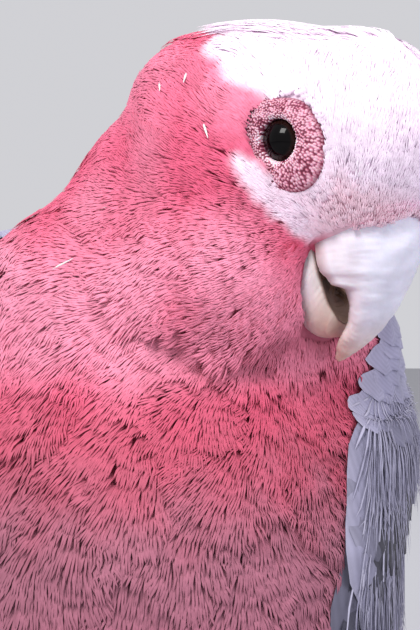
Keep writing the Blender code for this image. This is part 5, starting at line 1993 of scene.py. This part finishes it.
# %% Limbs
ANKLE, FOOT = (15.5, 32, 27), (15, 19, 7.5)
SHANK_RADIUS, TOE_RADIUS, SOLE = 3.3, 3.1, 2.3
FOOT_UP = 5.2  # mm from the floor to the middle of the toes' roots
TOES = [  # heading in degrees outwards from straight ahead, and length in mm
    ("inner_front", -14, 17),
    ("outer_front", 20, 25),
    ("inner_back", -150, 12),
    ("outer_back", 150, 22),
]
CLAW_LENGTH, CLAW_RADIUS, CLAW_HOOK = 9.0, 1.7, 62.0
SCALE_GREY, SCALE_DARK = srgb("8D8685"), srgb("4E4848")
ROUND_SCALE, ROUND_COUNT, PLATE = 1.3, 15, 1.7  # mm, scales round a limb, mm


def other_side(points, side):
    """The same points for a side: side is the sign that x is multiplied by."""
    return np.asarray(points, float) * np.array([side, 1, 1])


def limb(path, radii, relief, rings=60, sides=36):
    """A tube of rings round a curve with round ends: the radius is the row's plus relief(length, angle)."""
    t = np.linspace(0, 1, rings)
    centre = through(path, t)
    along = unit(np.gradient(centre, axis=0))
    beside = unit(np.cross(along, np.array([0.31, 0.11, 0.94])))
    up = np.cross(beside, along)
    turn = full_turn(sides)
    lengths = np.concatenate([[0], np.cumsum(np.linalg.norm(np.diff(centre, axis=0), axis=1))])
    round_end = np.sqrt(np.clip(1 - (1 - np.clip(np.minimum(t, 1 - t) / 0.09, 0, 1)) ** 2, 0.03, 1))
    size = row(radii, t)[:, None] * round_end[:, None]
    size = size + relief(lengths[:, None], turn[None, :]) * round_end[:, None]
    circle = np.cos(turn)[None, :, None] * beside[:, None] + np.sin(turn)[None, :, None] * up[:, None]
    return centre[:, None] + size[..., None] * circle, lengths, turn


def round_scales(length, angle):
    """Small round scales in staggered rows: each is the root of 1 - distance^2 both ways."""
    rows_of = length / ROUND_SCALE
    shift = 0.5 * (np.floor(rows_of) % 2)
    cell = np.mod(angle / (2 * math.pi) * ROUND_COUNT + shift, 1) - 0.5
    down, round_limb = 1 - (2 * (np.mod(rows_of, 1) - 0.5)) ** 2, 1 - (2 * cell) ** 2
    return 0.22 * np.sqrt(np.clip(down, 0, 1) * np.clip(round_limb, 0, 1))


def cross_plates(length, angle):
    """Plates across the toe, each with a rounded back, as 1 - distance^4, and a groove between."""
    s = np.mod(length / PLATE, 1)
    return 0.26 * np.clip(1 - (2 * s - 1) ** 4, 0, 1) - 0.1 + 0 * angle


def scaly_tint(points, relief):
    """Grey scales with dark grooves between them."""
    tint = blend(SCALE_DARK, SCALE_GREY, step(relief, 0.0, 0.16))
    return tint * (1 + 0.10 * wander(points, 4, 111))[:, None]


def scaly_piece(name, limbs, floor=0.0):
    """Limbs as one piece of scaly skin; what would reach below the floor is pressed flat on it."""
    forms, tints = [], []
    for rings, lengths_along, turn, relief in limbs:
        points, faces = closed_rings(rings)
        height = relief(lengths_along[:, None], turn[None, :]).ravel()
        height = np.concatenate([height, [0.1, 0.1]])
        points[:, 2] = np.maximum(points[:, 2], floor)
        forms.append((points, faces))
        tints.append(scaly_tint(points, height))
    points, faces = merged(forms)
    piece = new_piece(name, points, faces, LEG_SKIN, np.vstack(tints))
    return faces_out(piece)


def toe_path(side, heading, length):
    """Root, knuckle, pad and end of a toe that heads that many degrees outwards, and its direction."""
    turn = math.radians(heading)
    forward = np.array([side * math.sin(turn), -math.cos(turn), 0])
    root = other_side((*FOOT[:2], FOOT_UP), side)
    knuckle = root + forward * length * 0.42 + [0, 0, SOLE + 2.4 - FOOT_UP]
    flat, end = root + forward * length * 0.78, root + forward * length
    flat[2] = end[2] = SOLE
    return [root, knuckle, flat, end], forward


def claw_piece(name, base, forward):
    """A hooked cone: its middle bends down by an even curve and its radius falls to the point."""
    steps = np.linspace(0, 1, 40)
    bend = math.radians(CLAW_HOOK) * steps
    out = CLAW_LENGTH * np.sin(bend) / math.radians(CLAW_HOOK)
    drop = CLAW_LENGTH * (1 - np.cos(bend)) / math.radians(CLAW_HOOK)
    rise = np.array([0, 0, 1.0])
    start = np.array([base[0], base[1], 0.35 + drop[-1]])
    centre = start + out[:, None] * forward - drop[:, None] * rise
    along = np.cos(bend)[:, None] * forward - np.sin(bend)[:, None] * rise
    beside = np.cross(forward, rise)
    up = np.cross(beside, along)
    size = CLAW_RADIUS * (1 - 0.86 * steps) * (1 + 0.02 * np.sin(steps * 40))
    turn = full_turn(24)
    circle = np.cos(turn)[None, :, None] * beside * 0.8 + np.sin(turn)[None, :, None] * up[:, None]
    points, faces = closed_rings(centre[:, None] + size[:, None, None] * circle)
    share = np.concatenate([np.repeat(steps, len(turn)), [0, 1]])
    tint = blend(srgb("4A4443"), srgb("7E7672"), step(share, 0.55, 1.0))
    piece = new_piece(name, points, faces, CLAW_HORN, tint)
    return faces_out(piece)


for word, side in SIDES:
    ankle, foot = other_side(ANKLE, side), other_side(FOOT, side)
    thigh_end = ankle + (foot - ankle) * 0.02 + [0, -1, 4]
    shank_path = [thigh_end, (ankle + foot) / 2 + [0, 0.6, 0.5], foot + [0, 2.0, 2.0]]
    rings, lengths_along, turn = limb(shank_path, [SHANK_RADIUS * 0.98] * 3, round_scales, 90, 48)
    shank = scaly_piece(f"shank_scales_{word}", [(rings, lengths_along, turn, round_scales)])
    finish_piece(shank, "leg_skin", f"shank_{word}")
    pad_path = [foot + [0, 1.5, 1.2], foot + [0, 0, -1.5], foot + [0, -1.5, -4]]
    limbs = [(*limb(pad_path, [3.5, 4.1, 3.5], round_scales, 40, 40), round_scales)]
    for place_name, heading, length in TOES:
        path, forward = toe_path(side, heading, length)
        radii = [TOE_RADIUS * 0.95, TOE_RADIUS, TOE_RADIUS * 0.9, TOE_RADIUS * 0.8]
        limbs.append((*limb(path, radii, cross_plates, 70, 30), cross_plates))
        base = path[-1] + forward * (TOE_RADIUS * 0.8 * 0.6 - 0.6)
        claw = claw_piece(f"claw_horn_{word}_{place_name}", base, forward)
        finish_piece(claw, "claw", f"claw_{word}_{place_name}")
    finish_piece(scaly_piece(f"foot_scales_{word}", limbs), "leg_skin", f"foot_{word}")

# %% [markdown]
# ## Studio
# The bird stands on a flat, pale, matt floor. A soft key light comes from high in front, a little from the
# bird's right, a broad fill light from its left, and a weaker one from behind. The camera is level with the
# head, close, and looks straight at the bird's front, so that the turned head is seen from its right side.

# %% Floor and lights
PLAIN_FLOOR, _tree, floor_shader = new_material("pale matt studio floor", 0.9)
floor_shader.inputs["Base Color"].default_value = (*srgb("ABABB0"), 1)
FLOOR_SIZE = 3.4  # metres


def plain_floor():
    """A flat square, wide enough that its edges lie far behind the bird from every side."""
    far = FLOOR_SIZE / 2
    mesh = bpy.data.meshes.new("floor")
    mesh.from_pydata([(-far, -far, 0), (far, -far, 0), (far, far, 0), (-far, far, 0)], [], [(0, 1, 2, 3)])
    mesh.materials.append(PLAIN_FLOOR)
    floor = placed_in_scene("floor", mesh)


def soft_light(name, place, aim, size, power, colour):
    """A square area light at a place in metres, facing a point."""
    lamp = bpy.data.lights.new(name, "AREA")
    lamp.shape, lamp.size, lamp.energy = "SQUARE", size, power
    lamp.color = srgb(colour)
    light = placed_in_scene(name, lamp)
    light.location = place
    light.rotation_mode = "QUATERNION"
    light.rotation_quaternion = (Vector(aim) - Vector(place)).to_track_quat("-Z", "Y")


plain_floor()
HEAD_PLACE = Vector(((BETWEEN_EYES + PLACE) * MM).tolist())
soft_light("key", (-0.35, -0.70, 0.95), HEAD_PLACE, 0.40, 9.6, "FFFDFB")
soft_light("fill", (1.94, -1.54, 0.53), HEAD_PLACE, 1.98, 25.2, "FBF6FF")
soft_light("back", (0.25, 0.9, 0.8), HEAD_PLACE, 0.6, 6.0, "FFFFFF")
world = bpy.data.worlds.new("studio")
world.use_nodes = True
background = world.node_tree.nodes["Background"]
background.inputs["Color"].default_value = (*srgb("EDEDF2"), 1)
background.inputs["Strength"].default_value = 0.75
bpy.context.scene.world = world
bpy.context.scene.view_settings.view_transform = "Standard"  # colours are shown as their hex values say

# %% Camera
CAMERA_FAR, CAMERA_RISE = 0.38, 4.0  # metres from what it looks at, and degrees over the horizon
SEEN_HEIGHT = 0.101613  # metres of the bird's height that the frame takes in there
CAMERA_AIM = np.array([9.6, -30.6, 176.15])  # in the bird's millimetres: the front of the ruff
rise = math.radians(CAMERA_RISE)
back = Vector((0, -math.cos(rise), math.sin(rise)))
aim = Vector(((CAMERA_AIM + PLACE) * MM).tolist())
lens = bpy.data.cameras.new("camera")
lens.sensor_width = 36.0  # of the frame's longer side, which is its height
lens.lens = lens.sensor_width * CAMERA_FAR / SEEN_HEIGHT
lens.clip_start, lens.clip_end = 0.01, 20.0
camera = placed_in_scene("camera", lens)
camera.location = aim + back * CAMERA_FAR
camera.rotation_mode = "QUATERNION"
camera.rotation_quaternion = (-back).to_track_quat("-Z", "Y")
bpy.context.scene.camera = camera
print("camera height over the floor:", round(camera.location.z, 3), "m")
